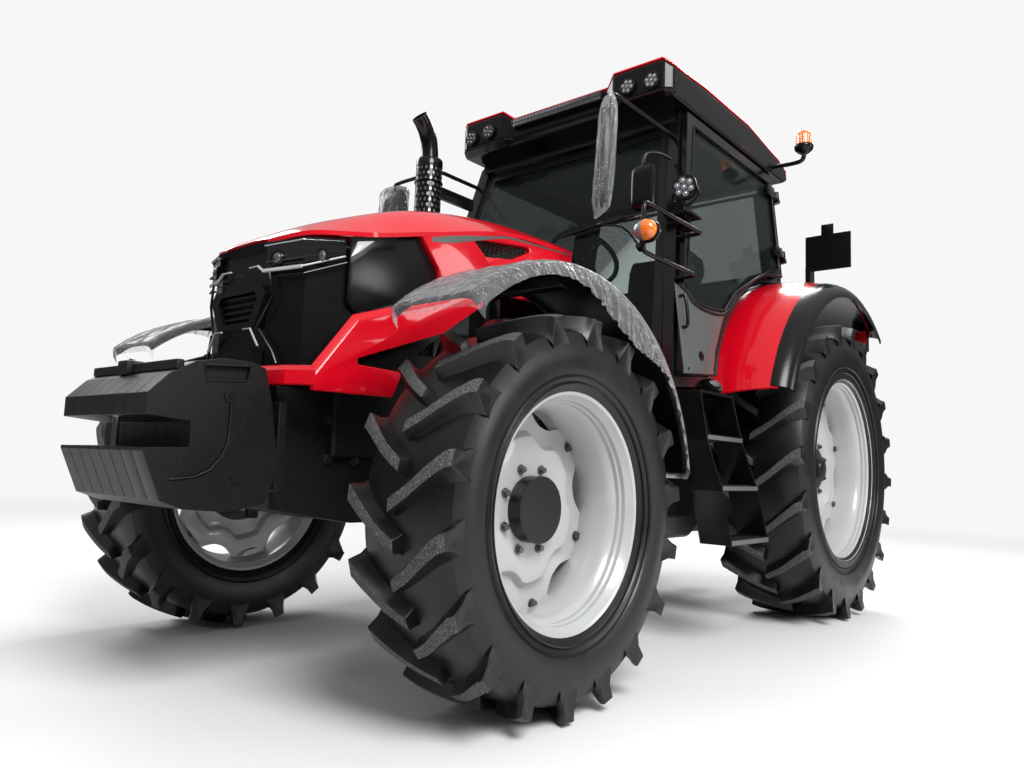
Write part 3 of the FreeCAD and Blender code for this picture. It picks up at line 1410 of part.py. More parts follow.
beacon_head = doc.addObject("Part::Feature", "beacon_head")
beacon_head.Shape = plated([loop(Vector(900, 1195, roof_low + z), Vector(1, 0, 0), Vector(0, 1, 0), r, r, 18)
                            for z, r in BEACON_RINGS])
beacon = fuse("beacon", [
    block("beacon_foot", ("dims.roof_half_width", "1180", "dims.roof_bottom + 15"),
          ("900", "1210", "dims.roof_bottom + 40")),
    bar("beacon_stem", ("900", "1195", "dims.roof_bottom + 15"), "Z", "70", "14"),
    beacon_head,
])
node("beacon", beacon)
tail_lamp = block("tail_lamp", ("960", "1788.6", "1560"), ("1070", "1838.8", "1678.2"))
node("tail_lamps", both_sides("tail_lamps", tail_lamp))
plate_arm = fuse("plate_bracket", [
    block("plate_board", ("850", "1360", "1985"), ("1110", "1372", "2200")),
    block("plate_arm", ("870", "1300", "1882"), ("900", "1372", "2000")),
])
node("plate_bracket", plate_arm)


# Rear linkage: lift arms, lift rods, lower links, top link and drawbar.

shaft_y = size("lift_shaft_y")
shaft_z = size("lift_shaft_height")
arm_t = size("lift_arm_thickness")
arm_in = size("lift_arm_x")
arm_y = size("lift_arm_end_y")
rod_pin = size("rod_pin_radius")
shaft_start = Vector(-arm_in - arm_t, shaft_y, shaft_z)
shaft = Part.makeCylinder(size("lift_shaft_radius"), 2 * (arm_in + arm_t), shaft_start, Vector(1, 0, 0))


def lift_arm():
    plate = prism([
        Vector(arm_in, shaft_y - 60, shaft_z - 45), Vector(arm_in, shaft_y - 60, shaft_z + 45),
        Vector(arm_in, shaft_y + 40, shaft_z + 60), Vector(arm_in, arm_y + 25, shaft_z + 22),
        Vector(arm_in, arm_y + 25, shaft_z - 22), Vector(arm_in, shaft_y + 40, shaft_z - 50),
    ], Vector(arm_t, 0, 0))
    pin = Part.makeCylinder(rod_pin, arm_t + 34, Vector(arm_in, arm_y, shaft_z), Vector(1, 0, 0))
    return plate.fuse(pin)


arm_left = lift_arm()
solid_node("lift_arms", shaft.fuse([arm_left, arm_left.mirror(Vector(), Vector(1, 0, 0))]).removeSplitter())

pivot_y = size("link_pivot_y")
pivot_z = size("link_pivot_height")
pivot_x = size("link_pivot_x")
ball_x = size("link_ball_x")
ball_y = size("link_ball_y")
ball_z = size("link_ball_height")
link_half = size("link_bar_width") / 2
rod_in = size("lift_rod_x")
rod_out = rod_in + size("lift_rod_width")


def lift_rod():
    top = Part.makeCylinder(28, rod_out - rod_in, Vector(rod_in, arm_y, shaft_z), Vector(1, 0, 0))
    bar_low = pivot_z + 10
    post = Part.makeBox(rod_out - rod_in, 36, shaft_z - bar_low, Vector(rod_in, arm_y - 18, bar_low))
    bore = Part.makeCylinder(rod_pin + size("pin_clearance"), 100, Vector(rod_in - 30, arm_y, shaft_z), Vector(1, 0, 0))
    return top.fuse(post).cut(bore)


rod_left = lift_rod()
solid_node("lift_rods", Part.makeCompound([rod_left, rod_left.mirror(Vector(), Vector(1, 0, 0))]))


def lower_link():
    """Bar with a pivot eye in front and a ball end behind, stepped outwards on the way."""
    def station(x, y, z, tall):
        return [
            Vector(x - link_half, y, z - tall), Vector(x + link_half, y, z - tall),
            Vector(x + link_half, y, z + tall), Vector(x - link_half, y, z + tall),
        ]
    straight = ruled([station(pivot_x, pivot_y, pivot_z, 35), station(pivot_x, arm_y + 60, pivot_z + 10, 40)])
    outward = ruled([station(pivot_x, arm_y + 60, pivot_z + 10, 40), station(ball_x, ball_y, ball_z, 34)])
    eye = Part.makeCylinder(38, 2 * link_half, Vector(pivot_x - link_half, pivot_y, pivot_z), Vector(1, 0, 0))
    half_end = size("link_end_length") / 2
    ball_start = Vector(ball_x - half_end, ball_y, ball_z)
    ball = Part.makeCylinder(size("link_end_radius"), 2 * half_end, ball_start, Vector(1, 0, 0))
    body = straight.fuse([outward, eye, ball])
    pivot_bore = Part.makeCylinder(size("link_pin_radius") + size("pin_clearance"), 200,
                                   Vector(pivot_x - 100, pivot_y, pivot_z), Vector(1, 0, 0))
    ball_bore = Part.makeCylinder(size("link_bore_radius"), 200, Vector(ball_x - 100, ball_y, ball_z), Vector(1, 0, 0))
    return body.cut([pivot_bore, ball_bore])


link_left = lower_link()
solid_node("lower_links", Part.makeCompound([link_left, link_left.mirror(Vector(), Vector(1, 0, 0))]))

case_back = "dims.rear_axle_y + 320"
top_link = fuse("top_link", [
    bar("top_link_tube", ("0", f"{case_back} + 45", "dims.gearbox_roof - 60"), "Z", "560", "22"),
    block("top_link_bracket", ("-45", case_back, "dims.gearbox_roof - 110"),
          ("45", f"{case_back} + 75", "dims.gearbox_roof - 60")),
])
node("top_link", top_link)
drawbar_solid = fuse("drawbar_solid", [
    block("drawbar_tongue", ("-40", f"{case_back} - 500", "dims.gearbox_floor - 120"),
          ("40", "dims.rear_end_y - 330", "dims.gearbox_floor - 120 + dims.drawbar_thickness")),
    block("drawbar_hanger", ("-80", f"{case_back} - 320", "dims.gearbox_floor - 120 + dims.drawbar_thickness"),
          ("80", f"{case_back} - 140", "dims.gearbox_floor - 60")),
])
drawbar_hole = bar("drawbar_hole", ("0", "dims.rear_end_y - 380", "0"), "Z", "1000", "dims.drawbar_pin_radius")
node("drawbar", cut("drawbar", drawbar_solid, drawbar_hole))


doc.recompute()
for thing in doc.Objects:
    if "Invalid" in thing.State or "Error" in thing.State:
        raise RuntimeError(f"{thing.Label} failed: {thing.State}")
for name, thing in NODES.items():
    if thing.Shape.isNull() or not thing.Shape.isValid():
        raise RuntimeError(f"{name} has no valid shape")
    if not thing.Shape.Solids:
        raise RuntimeError(f"{name} has no solid")

os.makedirs("parts", exist_ok=True)
for name, thing in NODES.items():
    thing.Shape.exportStep(f"parts/{name}.step")
print(len(NODES), "sub-parts")
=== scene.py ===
import json
import math

import bmesh
import bpy
from mathutils import Matrix, Vector, noise


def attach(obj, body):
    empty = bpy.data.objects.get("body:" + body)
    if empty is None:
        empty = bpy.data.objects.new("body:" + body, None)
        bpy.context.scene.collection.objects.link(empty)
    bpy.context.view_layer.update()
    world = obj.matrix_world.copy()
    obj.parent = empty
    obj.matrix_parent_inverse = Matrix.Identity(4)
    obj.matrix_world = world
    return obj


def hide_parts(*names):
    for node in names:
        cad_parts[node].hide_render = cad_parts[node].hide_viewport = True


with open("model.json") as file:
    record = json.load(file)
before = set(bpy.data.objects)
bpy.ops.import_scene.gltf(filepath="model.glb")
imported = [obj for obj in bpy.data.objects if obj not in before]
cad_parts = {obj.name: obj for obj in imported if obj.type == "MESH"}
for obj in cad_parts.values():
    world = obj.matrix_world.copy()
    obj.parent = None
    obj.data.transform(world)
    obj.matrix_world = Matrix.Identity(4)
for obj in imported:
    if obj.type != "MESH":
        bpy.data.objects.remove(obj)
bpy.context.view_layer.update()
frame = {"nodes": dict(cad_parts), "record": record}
cad = frame["nodes"]


# Camera: the photographer stands low by the front left wheel, close to the machine, with a wide lens.
# Its place, turn and focal length are those at which the wheels' circles and the cab's edges meet the photograph.

LENS_MM = 27.52
EYE = (2.480, -3.270, 0.760)
YAW, PITCH, ROLL = -0.6993, 0.1051, 0.0385
camera_data = bpy.data.cameras.new("camera")
camera_data.lens = LENS_MM
camera_data.sensor_width = 36.0
camera_data.clip_start = 0.05
camera = bpy.data.objects.new("camera", camera_data)
bpy.context.scene.collection.objects.link(camera)
bpy.context.scene.camera = camera
ahead = Vector((math.sin(YAW) * math.cos(PITCH), math.cos(YAW) * math.cos(PITCH), math.sin(PITCH)))
level = ahead.cross(Vector((0, 0, 1))).normalized()
upright = level.cross(ahead)
right = math.cos(ROLL) * level + math.sin(ROLL) * upright
top = math.cos(ROLL) * upright - math.sin(ROLL) * level
camera.matrix_world = Matrix.Translation(EYE) @ Matrix((right, top, -ahead)).transposed().to_4x4()


# Tyres: black rubber carcasses with rounded walls and chevron lugs that wrap over the shoulder, each lug's worn
# face pale with dust. The wall is turned round the axle, one lug is modelled and set round both halves of the tread,
# and each tyre rides on its own wheel.

def wire(tree, node, values):
    """Give a shader node's inputs their values, or join them to other nodes' outputs."""
    for socket, value in values.items():
        if isinstance(value, bpy.types.NodeSocket):
            tree.links.new(value, node.inputs[socket])
        else:
            node.inputs[socket].default_value = value


def add_node(tree, kind, values=(), **settings):
    """A new shader node, with its settings and what goes into its inputs."""
    node = tree.nodes.new("ShaderNode" + kind)
    for name, value in settings.items():
        setattr(node, name, value)
    wire(tree, node, dict(values))
    return node


def finish(name, base, rough, metal=0.0, coat=0.0, vary=0.12, broad=3.0, grain=260.0, bump=0.05, dust=0.0,
           dust_top=1.3, dust_color=(0.23, 0.18, 0.14), speck=0.0, shine=0.5):
    """A solid finish that clouds a little over the object, with fine grain as bump and dust that gathers low down."""
    material = bpy.data.materials.new(name)
    material.use_nodes = True
    tree = material.node_tree
    where = add_node(tree, "TexCoord").outputs["Object"]
    clouds = add_node(tree, "TexNoise", {"Vector": where, "Scale": broad, "Detail": 7.0}).outputs["Fac"]
    fine = add_node(tree, "TexNoise", {"Vector": where, "Scale": grain, "Detail": 3.0}).outputs["Fac"]
    darker = (*[c * (1 - vary) for c in base], 1)
    lighter = (*[min(1.0, c * (1 + vary)) for c in base], 1)
    color = add_node(tree, "Mix", {0: clouds, 6: darker, 7: lighter}, data_type="RGBA").outputs[2]
    roughness = add_node(tree, "MapRange", {
        "Value": clouds, "To Min": max(0.02, rough - 0.07), "To Max": min(1.0, rough + 0.07)}).outputs["Result"]
    if speck:
        flecks = add_node(tree, "ValToRGB", {"Fac": fine})
        for element, position in zip(flecks.color_ramp.elements, (0.52, 0.62)):
            element.position = position
        amount = add_node(tree, "Math", {0: flecks.outputs["Color"], 1: speck}, operation="MULTIPLY").outputs[0]
        color = add_node(tree, "Mix", {0: amount, 6: color, 7: (0.5, 0.48, 0.46, 1)}, data_type="RGBA").outputs[2]
    if dust:
        height = add_node(tree, "SeparateXYZ", {"Vector": where}).outputs["Z"]
        low = add_node(tree, "MapRange", {"Value": height, "From Min": dust_top, "From Max": 0.0, "To Max": dust})
        patches = add_node(tree, "TexNoise", {"Vector": where, "Scale": 9.0, "Detail": 9.0, "Roughness": 0.7})
        contrast = add_node(tree, "MapRange", {"Value": patches.outputs["Fac"], "From Min": 0.4, "From Max": 0.72})
        cover = add_node(tree, "Math", {0: low.outputs["Result"], 1: contrast.outputs["Result"]},
                         operation="MULTIPLY").outputs[0]
        color = add_node(tree, "Mix", {0: cover, 6: color, 7: (*dust_color, 1)}, data_type="RGBA").outputs[2]
        roughness = add_node(tree, "Mix", {0: cover, "A": roughness, "B": 0.9}).outputs[0]
    relief = add_node(tree, "Bump", {"Height": fine, "Strength": bump, "Distance": 0.002}).outputs["Normal"]
    wire(tree, tree.nodes["Principled BSDF"], {
        "Base Color": color, "Roughness": roughness, "Normal": relief, "Metallic": metal, "Coat Weight": coat,
        "Coat Roughness": 0.04, "Specular IOR Level": shine})
    return material


rubber = finish("tyre rubber", (0.0045, 0.0045, 0.0049), 0.33, vary=0.4, grain=120.0, bump=0.14, dust=0.30,
                dust_top=2.6, dust_color=(0.022, 0.021, 0.020), shine=0.38)
lug_face = finish("worn lug face", (0.046, 0.048, 0.049), 0.75, vary=0.4, grain=300.0, bump=0.9, speck=0.30, dust=0.1,
                  shine=0.2)


def piece(name, mesh, finishes, body, sharp=38.0, stands_for=()):
    """Turn a bmesh into a shown piece: its finish and the body it rides on."""
    bmesh.ops.recalc_face_normals(mesh, faces=mesh.faces)
    data = bpy.data.meshes.new(name)
    mesh.to_mesh(data)
    mesh.free()
    for material in finishes if isinstance(finishes, (list, tuple)) else [finishes]:
        data.materials.append(material)
    data.shade_smooth()
    data.set_sharp_from_angle(angle=math.radians(sharp))
    thing = bpy.data.objects.new(name, data)
    bpy.context.scene.collection.objects.link(thing)
    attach(thing, body)
    if stands_for:
        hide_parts(*stands_for)
    return thing


def add_loft(mesh, rings, capped=True, closed=True):
    """A skin through rings of equally many points, its two ends closed with faces."""
    made = [[mesh.verts.new(p) for p in ring] for ring in rings]
    count = len(made[0])
    skin = []
    for near, far in zip(made, made[1:]):
        for k in range(count if closed else count - 1):
            j = (k + 1) % count
            skin.append(mesh.faces.new((near[k], near[j], far[j], far[k])))
    if capped:
        mesh.faces.new(made[0])
        mesh.faces.new(made[-1][::-1])
    return skin


def through(rows, steps):
    """Rows of numbers on a smooth curve through the given rows, with several steps from each one to the next."""
    out = []
    for i in range(len(rows) - 1):
        before, here, there, after = rows[max(0, i - 1)], rows[i], rows[i + 1], rows[min(len(rows) - 1, i + 2)]
        for k in range(steps):
            u = k / steps
            out.append([0.5 * (2 * b + (c - a) * u + (2 * a - 5 * b + 4 * c - d) * u ** 2
                               + (3 * b - a - 3 * c + d) * u ** 3) for a, b, c, d in zip(before, here, there, after)])
    out.append(list(rows[-1]))
    return out


def around(x, turn, radius):
    """A point round an X axis, its angle counted up from the front."""
    return Vector((x, -radius * math.cos(turn), radius * math.sin(turn)))


def add_turned(mesh, profile, steps):
    """A profile of (x, radius) turned about the X axis."""
    verts = [mesh.verts.new((x, 0, r)) for x, r in profile]
    edges = [mesh.edges.new(pair) for pair in zip(verts, verts[1:])]
    bmesh.ops.spin(mesh, geom=verts + edges, cent=(0, 0, 0), axis=(1, 0, 0), angle=math.tau, steps=steps,
                   use_merge=True)


SIDES = ((1, "left"), (-1, "right"))
TURNED_STEPS = 120
WHEELS = {
    # centre across, along, up, tyre radius, half width, seat radius, flange radius, half rim width, lugs a side
    "front": (0.900, -1.25, 0.625, 0.625, 0.190, 0.3563, 0.381, 0.150, 18),
    "rear": (0.885, 1.30, 0.815, 0.815, 0.240, 0.4833, 0.515, 0.215, 20),
}
LUG_HEIGHT = {"front": 0.038, "rear": 0.044}


FIRST_LUG = math.radians(-85.3)
LUG_EDGE = 0.0030


def lug_mesh(end):
    """One lug on the outer half of a left tyre, its outer end at angle 0, as stations of six corners."""
    radius, half = WHEELS[end][3], WHEELS[end][4]
    base = radius - LUG_HEIGHT[end]
    stations = [
        # across, angle, foot radius, top radius, half length along the tread at the foot and at the top
        (-0.012, -12.8, base - 0.010, radius - 0.001, 0.034, 0.0185),
        (0.30 * half, -9.0, base - 0.010, radius, 0.036, 0.0200),
        (0.62 * half, -4.6, base - 0.012, radius - 0.001, 0.040, 0.0225),
        (0.88 * half, -1.2, base - 0.026, radius - 0.005, 0.045, 0.0245),
        (0.985 * half, -0.1, base - 0.050, radius - 0.014, 0.044, 0.0240),
    ]
    rings = []
    for across, angle, foot, top, wide, narrow in through(stations, 4):
        waist = foot + 0.45 * (top - foot)
        overhang = 0.007 if across > 0.93 * half else 0.0
        rings.append([around(across + (overhang if r == top else 0.0), math.radians(angle) + reach / r, r)
                      for reach, r in ((-wide, foot), (-narrow - 0.0045, waist), (-narrow, top), (narrow, top),
                                       (narrow + 0.0045, waist), (wide, foot))])
    across, angle, foot, top, wide, narrow = stations[-1]
    rings.append([around(across - 0.004, math.radians(angle + 0.6) + reach / r, r)
                  for reach, r in ((-wide, foot - 0.030), (-0.020, foot - 0.008), (-0.014, base - 0.020),
                                   (0.014, base - 0.020), (0.020, foot - 0.008), (wide, foot - 0.030))])
    mesh = bmesh.new()
    add_loft(mesh, rings, closed=False)
    bmesh.ops.recalc_face_normals(mesh, faces=mesh.faces)
    worn = {vert for k, vert in enumerate(mesh.verts) if k % 6 in (2, 3) and k < 6 * (len(rings) - 1)}
    for face in mesh.faces:
        face.material_index = 1 if all(vert in worn for vert in face.verts) else 0
    ridges = [e for e in mesh.edges if len(e.link_faces) == 2 and e.calc_face_angle(0) > 0.7]
    bmesh.ops.bevel(mesh, geom=ridges, offset=LUG_EDGE, segments=2, profile=0.6, affect="EDGES", material=-1)
    data = bpy.data.meshes.new("lug")
    mesh.to_mesh(data)
    mesh.free()
    return data


for end, (across, along, up, radius, half, seat, flange, rim_half, lugs) in WHEELS.items():
    base = radius - LUG_HEIGHT[end]
    wall = base - seat
    profile = [(-rim_half + 0.024, seat), (-rim_half - 0.002, seat + 0.024), (-0.90 * half, seat + 0.25 * wall),
               (-0.985 * half, seat + 0.50 * wall), (-0.97 * half, seat + 0.72 * wall),
               (-0.90 * half, seat + 0.89 * wall), (-0.72 * half, base - 0.010), (-0.40 * half, base - 0.003),
               (0, base)]
    profile += [(-x, r) for x, r in reversed(profile[:-1])]
    one = lug_mesh(end)
    tread = bmesh.new()
    for side in (1, -1):
        for i in range(lugs):
            first, first_face = len(tread.verts), len(tread.faces)
            tread.from_mesh(one)
            tread.verts.ensure_lookup_table()
            tread.faces.ensure_lookup_table()
            new = tread.verts[first:]
            if side < 0:
                bmesh.ops.scale(tread, vec=(-1, 1, 1), verts=new)
                bmesh.ops.reverse_faces(tread, faces=tread.faces[first_face:])
            turn = (i + (0.5 if side < 0 else 0.0)) * math.tau / lugs + FIRST_LUG
            bmesh.ops.rotate(tread, cent=(0, 0, 0), matrix=Matrix.Rotation(-turn, 3, "X"), verts=new)
    tread_data = bpy.data.meshes.new("tread")
    tread.to_mesh(tread_data)
    tread.free()
    for sign, side_name in SIDES:
        tyre = bmesh.new()
        add_turned(tyre, profile, TURNED_STEPS)
        tyre.from_mesh(tread_data)
        for reach, r in ((0.955, seat + 0.30 * wall), (0.915, seat + 0.20 * wall)):
            for flank in (1, -1):
                add_turned(tyre, [(flank * (reach * half - 0.004), r - 0.004), (flank * (reach * half + 0.002), r),
                                  (flank * (reach * half - 0.004), r + 0.004)], TURNED_STEPS)
        bmesh.ops.translate(tyre, vec=(sign * across, along, up), verts=tyre.verts)
        piece(f"tyre_tread_{end}_{side_name}", tyre, [rubber, lug_face], f"wheel_{end}_{side_name}",
              sharp=42.0, stands_for=[f"tyre_{end}_{side_name}"])


# Rims: painted steel, a stepped barrel with rolled flanges and a dished disc whose wavy edge is bolted to plates
# welded inside the barrel. Barrel and disc are turned and lofted, and the nuts and the rear hub's dark cap go on top.

white = finish("rim paint", (0.42, 0.43, 0.43), 0.30, coat=0.4, vary=0.05, grain=90.0, bump=0.03, dust=0.12)
zinc = finish("plated steel", (0.17, 0.168, 0.160), 0.34, metal=1.0, vary=0.15, bump=0.08)
hub_black = finish("hub paint", (0.0060, 0.0050, 0.0050), 0.34, vary=0.25, bump=0.12, dust=0.15, shine=0.4,
                   dust_color=(0.030, 0.018, 0.016))


def add_rod(mesh, start, end, radius, far=None, sides=20):
    """A round bar or cone between two points."""
    start, end = Vector(start), Vector(end)
    along = end - start
    turn = along.to_track_quat("Z", "Y").to_matrix().to_4x4()
    made = bmesh.ops.create_cone(mesh, cap_ends=True, segments=sides, radius1=radius,
                                 radius2=radius if far is None else far, depth=along.length)["verts"]
    bmesh.ops.transform(mesh, matrix=Matrix.Translation((start + end) / 2) @ turn, verts=made)


def add_plate(mesh, points, thickness):
    """A flat plate from its outline, thickened along a vector."""
    verts = [mesh.verts.new(p) for p in points]
    face = mesh.faces.new(verts)
    grown = bmesh.ops.extrude_face_region(mesh, geom=[face])
    bmesh.ops.translate(mesh, vec=thickness, verts=[g for g in grown["geom"] if isinstance(g, bmesh.types.BMVert)])


def turn_over(mesh, side):
    """Make a left piece a right one where the side is minus."""
    if side < 0:
        bmesh.ops.scale(mesh, vec=(-1, 1, 1), verts=mesh.verts)


DISC = {
    # disc plane from the wheel's middle, lobes, lobe radius, waist radius, bolt circle, angle of the first lobe
    "front": (-0.050, 6, 0.340, 0.284, 0.318, 41.5),
    "rear": (0.015, 8, 0.466, 0.408, 0.440, 107.0),
}
DISC_STEPS = 144
DISC_BORE = 0.100
DISC_THICK = 0.012
HUB_NUTS = 8
HUB_CIRCLE = 0.1375
HUB_STEPS = 48
for end, (across, along, up, radius, half, seat, flange, rim_half, lugs) in WHEELS.items():
    plane, lobes, lobe_r, waist_r, bolt_r, first_angle = DISC[end]
    barrel = [
        (rim_half - 0.004, flange - 0.014), (rim_half, flange - 0.004), (rim_half - 0.004, flange),
        (rim_half - 0.013, flange - 0.002), (rim_half - 0.021, seat + 0.006), (rim_half - 0.062, seat - 0.0006),
        (rim_half - 0.085, seat - 0.020), (rim_half - 0.140, seat - 0.026), (-rim_half + 0.140, seat - 0.026),
        (-rim_half + 0.085, seat - 0.020), (-rim_half + 0.062, seat - 0.0006), (-rim_half + 0.021, seat + 0.006),
        (-rim_half + 0.013, flange - 0.002), (-rim_half + 0.004, flange), (-rim_half, flange - 0.004),
        (-rim_half + 0.004, flange - 0.014), (-rim_half + 0.014, flange - 0.020), (-rim_half + 0.028, seat - 0.008),
        (-rim_half + 0.064, seat - 0.012), (-rim_half + 0.090, seat - 0.031), (-rim_half + 0.142, seat - 0.037),
        (rim_half - 0.142, seat - 0.037), (rim_half - 0.090, seat - 0.031), (rim_half - 0.068, seat - 0.019),
        (rim_half - 0.062, seat - 0.0125), (rim_half - 0.048, seat - 0.0125), (rim_half - 0.042, seat - 0.0070),
        (rim_half - 0.028, seat - 0.006), (rim_half - 0.014, flange - 0.020), (rim_half - 0.004, flange - 0.014),
    ]
    rings = []
    for share, dish in ((0.0, 0.012), (0.30, 0.012), (0.50, 0.013), (0.54, 0.011), (0.62, -0.013), (0.66, -0.016),
                        (0.86, -0.016), (1.0, -0.014)):
        ring = []
        for i in range(DISC_STEPS):
            angle = math.tau * i / DISC_STEPS
            wave = 0.5 + 0.5 * math.cos(lobes * (angle - math.radians(first_angle)))
            edge = waist_r + (lobe_r - waist_r) * min(1.0, 1.9 * wave ** 1.3)
            r = DISC_BORE + (edge - DISC_BORE) * share
            ring.append((plane + dish, r * math.cos(angle), r * math.sin(angle)))
        rings.append(ring)
    lobe_angles = [math.radians(first_angle) + math.tau * k / lobes for k in range(lobes)]
    for sign, side_name in SIDES:
        rim = bmesh.new()
        add_turned(rim, barrel, TURNED_STEPS)
        disc = add_loft(rim, rings, capped=False)
        bmesh.ops.recalc_face_normals(rim, faces=disc)
        bmesh.ops.solidify(rim, geom=disc, thickness=DISC_THICK)
        for angle in lobe_angles:
            outward = Vector((0, math.cos(angle), math.sin(angle)))
            sideways = Vector((0, -math.sin(angle), math.cos(angle)))
            foot = outward * (seat - 0.036)
            tip = outward * (bolt_r - 0.018)
            back = Vector((plane - 0.036, 0, 0))
            add_plate(rim, [back + foot + sideways * 0.060, back + tip + sideways * 0.030,
                            back + tip - sideways * 0.030, back + foot - sideways * 0.060], Vector((0.010, 0, 0)))
        nuts = bmesh.new()
        stacks = [(bolt_r, angle, ((-0.018, 0.001, 0.017, 24), (0.0, 0.013, 0.0135, 6))) for angle in lobe_angles]
        stacks += [(HUB_CIRCLE, math.tau * (k + 0.5) / HUB_NUTS,
                    ((0.010, 0.016, 0.020, 24), (0.014, 0.032, 0.016, 6), (0.030, 0.044, 0.0095, 16)))
                   for k in range(HUB_NUTS)]
        for circle_r, angle, rods in stacks:
            spot = Vector((plane, circle_r * math.cos(angle), circle_r * math.sin(angle)))
            for near, far, r, sides in rods:
                add_rod(nuts, spot + Vector((near, 0, 0)), spot + Vector((far, 0, 0)), r, sides=sides)
        hub = bmesh.new()
        add_turned(hub, [(plane + 0.012, 0.0565), (plane + 0.028, 0.0565), (plane + 0.060, 0.0565),
                         (plane + 0.072, 0.050), (plane + 0.075, 0.0)], HUB_STEPS)
        add_turned(hub, [(plane + 0.004, 0.118), (plane + 0.034, 0.112), (plane + 0.036, 0.0)], HUB_STEPS)
        for mesh in (rim, nuts, hub):
            turn_over(mesh, sign)
            bmesh.ops.translate(mesh, vec=(sign * across, along, up), verts=mesh.verts)
        wheel = f"wheel_{end}_{side_name}"
        piece(f"rim_dish_{end}_{side_name}", rim, white, wheel, sharp=32.0,
              stands_for=[f"rim_{end}_{side_name}"])
        piece(f"wheel_nuts_{end}_{side_name}", nuts, zinc, wheel)
        if end == "rear":
            piece(f"rear_hub_{side_name}", hub, hub_black, wheel)
        else:
            hub.free()


# Castings, frames and covers: pieces that the solids show as they are, of cast iron, pressed steel, plastic and glass.
# Each gets the finish of its slot, and the thick ones get rounded edges by a bevel over their merged faces.

def clear(name, tint, see_through, rough, least, most, crinkle=0.0):
    """A thin see-through finish with a glossy face, stronger at a glance; a film has fine crinkles as well."""
    material = bpy.data.materials.new(name)
    material.use_nodes = True
    tree = material.node_tree
    where = add_node(tree, "TexCoord").outputs["Object"]
    streaks = add_node(tree, "TexNoise", {"Vector": where, "Scale": 3.0, "Detail": 8.0}).outputs["Fac"]
    spread = add_node(tree, "MapRange", {"Value": streaks, "To Min": rough * 0.5, "To Max": rough * 1.5})
    facing = add_node(tree, "LayerWeight", {"Blend": 0.30})
    shader = tree.nodes["Principled BSDF"]
    wire(tree, shader, {"Base Color": (*tint, 1), "Coat Weight": 0.5, "Roughness": spread.outputs["Result"]})
    if crinkle:
        folds = add_node(tree, "TexNoise", {"Vector": where, "Scale": 26.0, "Detail": 5.0, "Distortion": 1.6})
        relief = add_node(tree, "Bump", {"Height": folds.outputs["Fac"], "Strength": crinkle, "Distance": 0.012})
        for node in (shader, facing):
            wire(tree, node, {"Normal": relief.outputs["Normal"]})
    see = add_node(tree, "BsdfTransparent", {"Color": (*see_through, 1)})
    strength = add_node(tree, "MapRange", {"Value": facing.outputs["Fresnel"], "To Min": least, "To Max": most})
    mix = add_node(tree, "MixShader", {
        "Fac": strength.outputs["Result"], 1: see.outputs["BSDF"], 2: shader.outputs["BSDF"]})
    wire(tree, tree.nodes["Material Output"], {"Surface": mix.outputs["Shader"]})
    return material


red = finish("red paint", (0.58, 0.0015, 0.011), 0.26, coat=0.65, vary=0.04, grain=40.0, bump=0.012, dust=0.06,
             shine=0.15)
casting = finish("black casting", (0.0060, 0.0060, 0.0065), 0.36, vary=0.4, grain=260.0, bump=1.2, dust=0.08,
                 shine=0.28, dust_color=(0.05, 0.045, 0.04))
plastic = finish("black plastic", (0.0042, 0.0042, 0.0046), 0.20, vary=0.2, grain=700.0, bump=0.08, dust=0.06,
                 shine=0.28, dust_color=(0.06, 0.055, 0.05))
steel_black = finish("black steel", (0.0042, 0.0042, 0.0046), 0.18, vary=0.2, grain=300.0, bump=0.05, dust=0.08,
                     shine=0.35, dust_color=(0.06, 0.055, 0.05))
cloth = finish("seat cloth", (0.014, 0.014, 0.016), 0.85, vary=0.3, grain=900.0, bump=0.5, shine=0.2)
lamp_dark = finish("lamp cover", (0.0040, 0.0040, 0.0045), 0.05, coat=1.0, vary=0.1, bump=0.0)
amber = finish("amber lens", (0.80, 0.17, 0.010), 0.12, coat=1.0, vary=0.15, grain=140.0, bump=0.25)
tail_red = finish("red lens", (0.45, 0.008, 0.008), 0.15, coat=0.8, vary=0.1, grain=120.0, bump=0.1)
glass = clear("tinted glass", (0.02, 0.025, 0.025), (0.80, 0.835, 0.83), 0.02, 0.03, 0.75)
lens = clear("clear lens", (0.10, 0.10, 0.10), (0.93, 0.94, 0.95), 0.04, 0.04, 0.6)
SLOT_FINISH = {
    "red_paint": red, "dark_cast": casting, "dark_plastic": plastic, "dark_steel": steel_black, "rim_paint": white,
    "hub_paint": hub_black, "tyre_rubber": rubber, "pane_glass": glass, "seat_cover": cloth, "lamp_lens": lens,
    "amber_lens": amber, "red_lens": tail_red,
}
node_slots = {entry["node"]: entry["material_slot"] for entry in frame["record"]["subparts"]}
for name, thing in cad.items():
    for place in thing.material_slots:
        place.material = lamp_dark if name == "headlamps" else SLOT_FINISH[node_slots[name]]

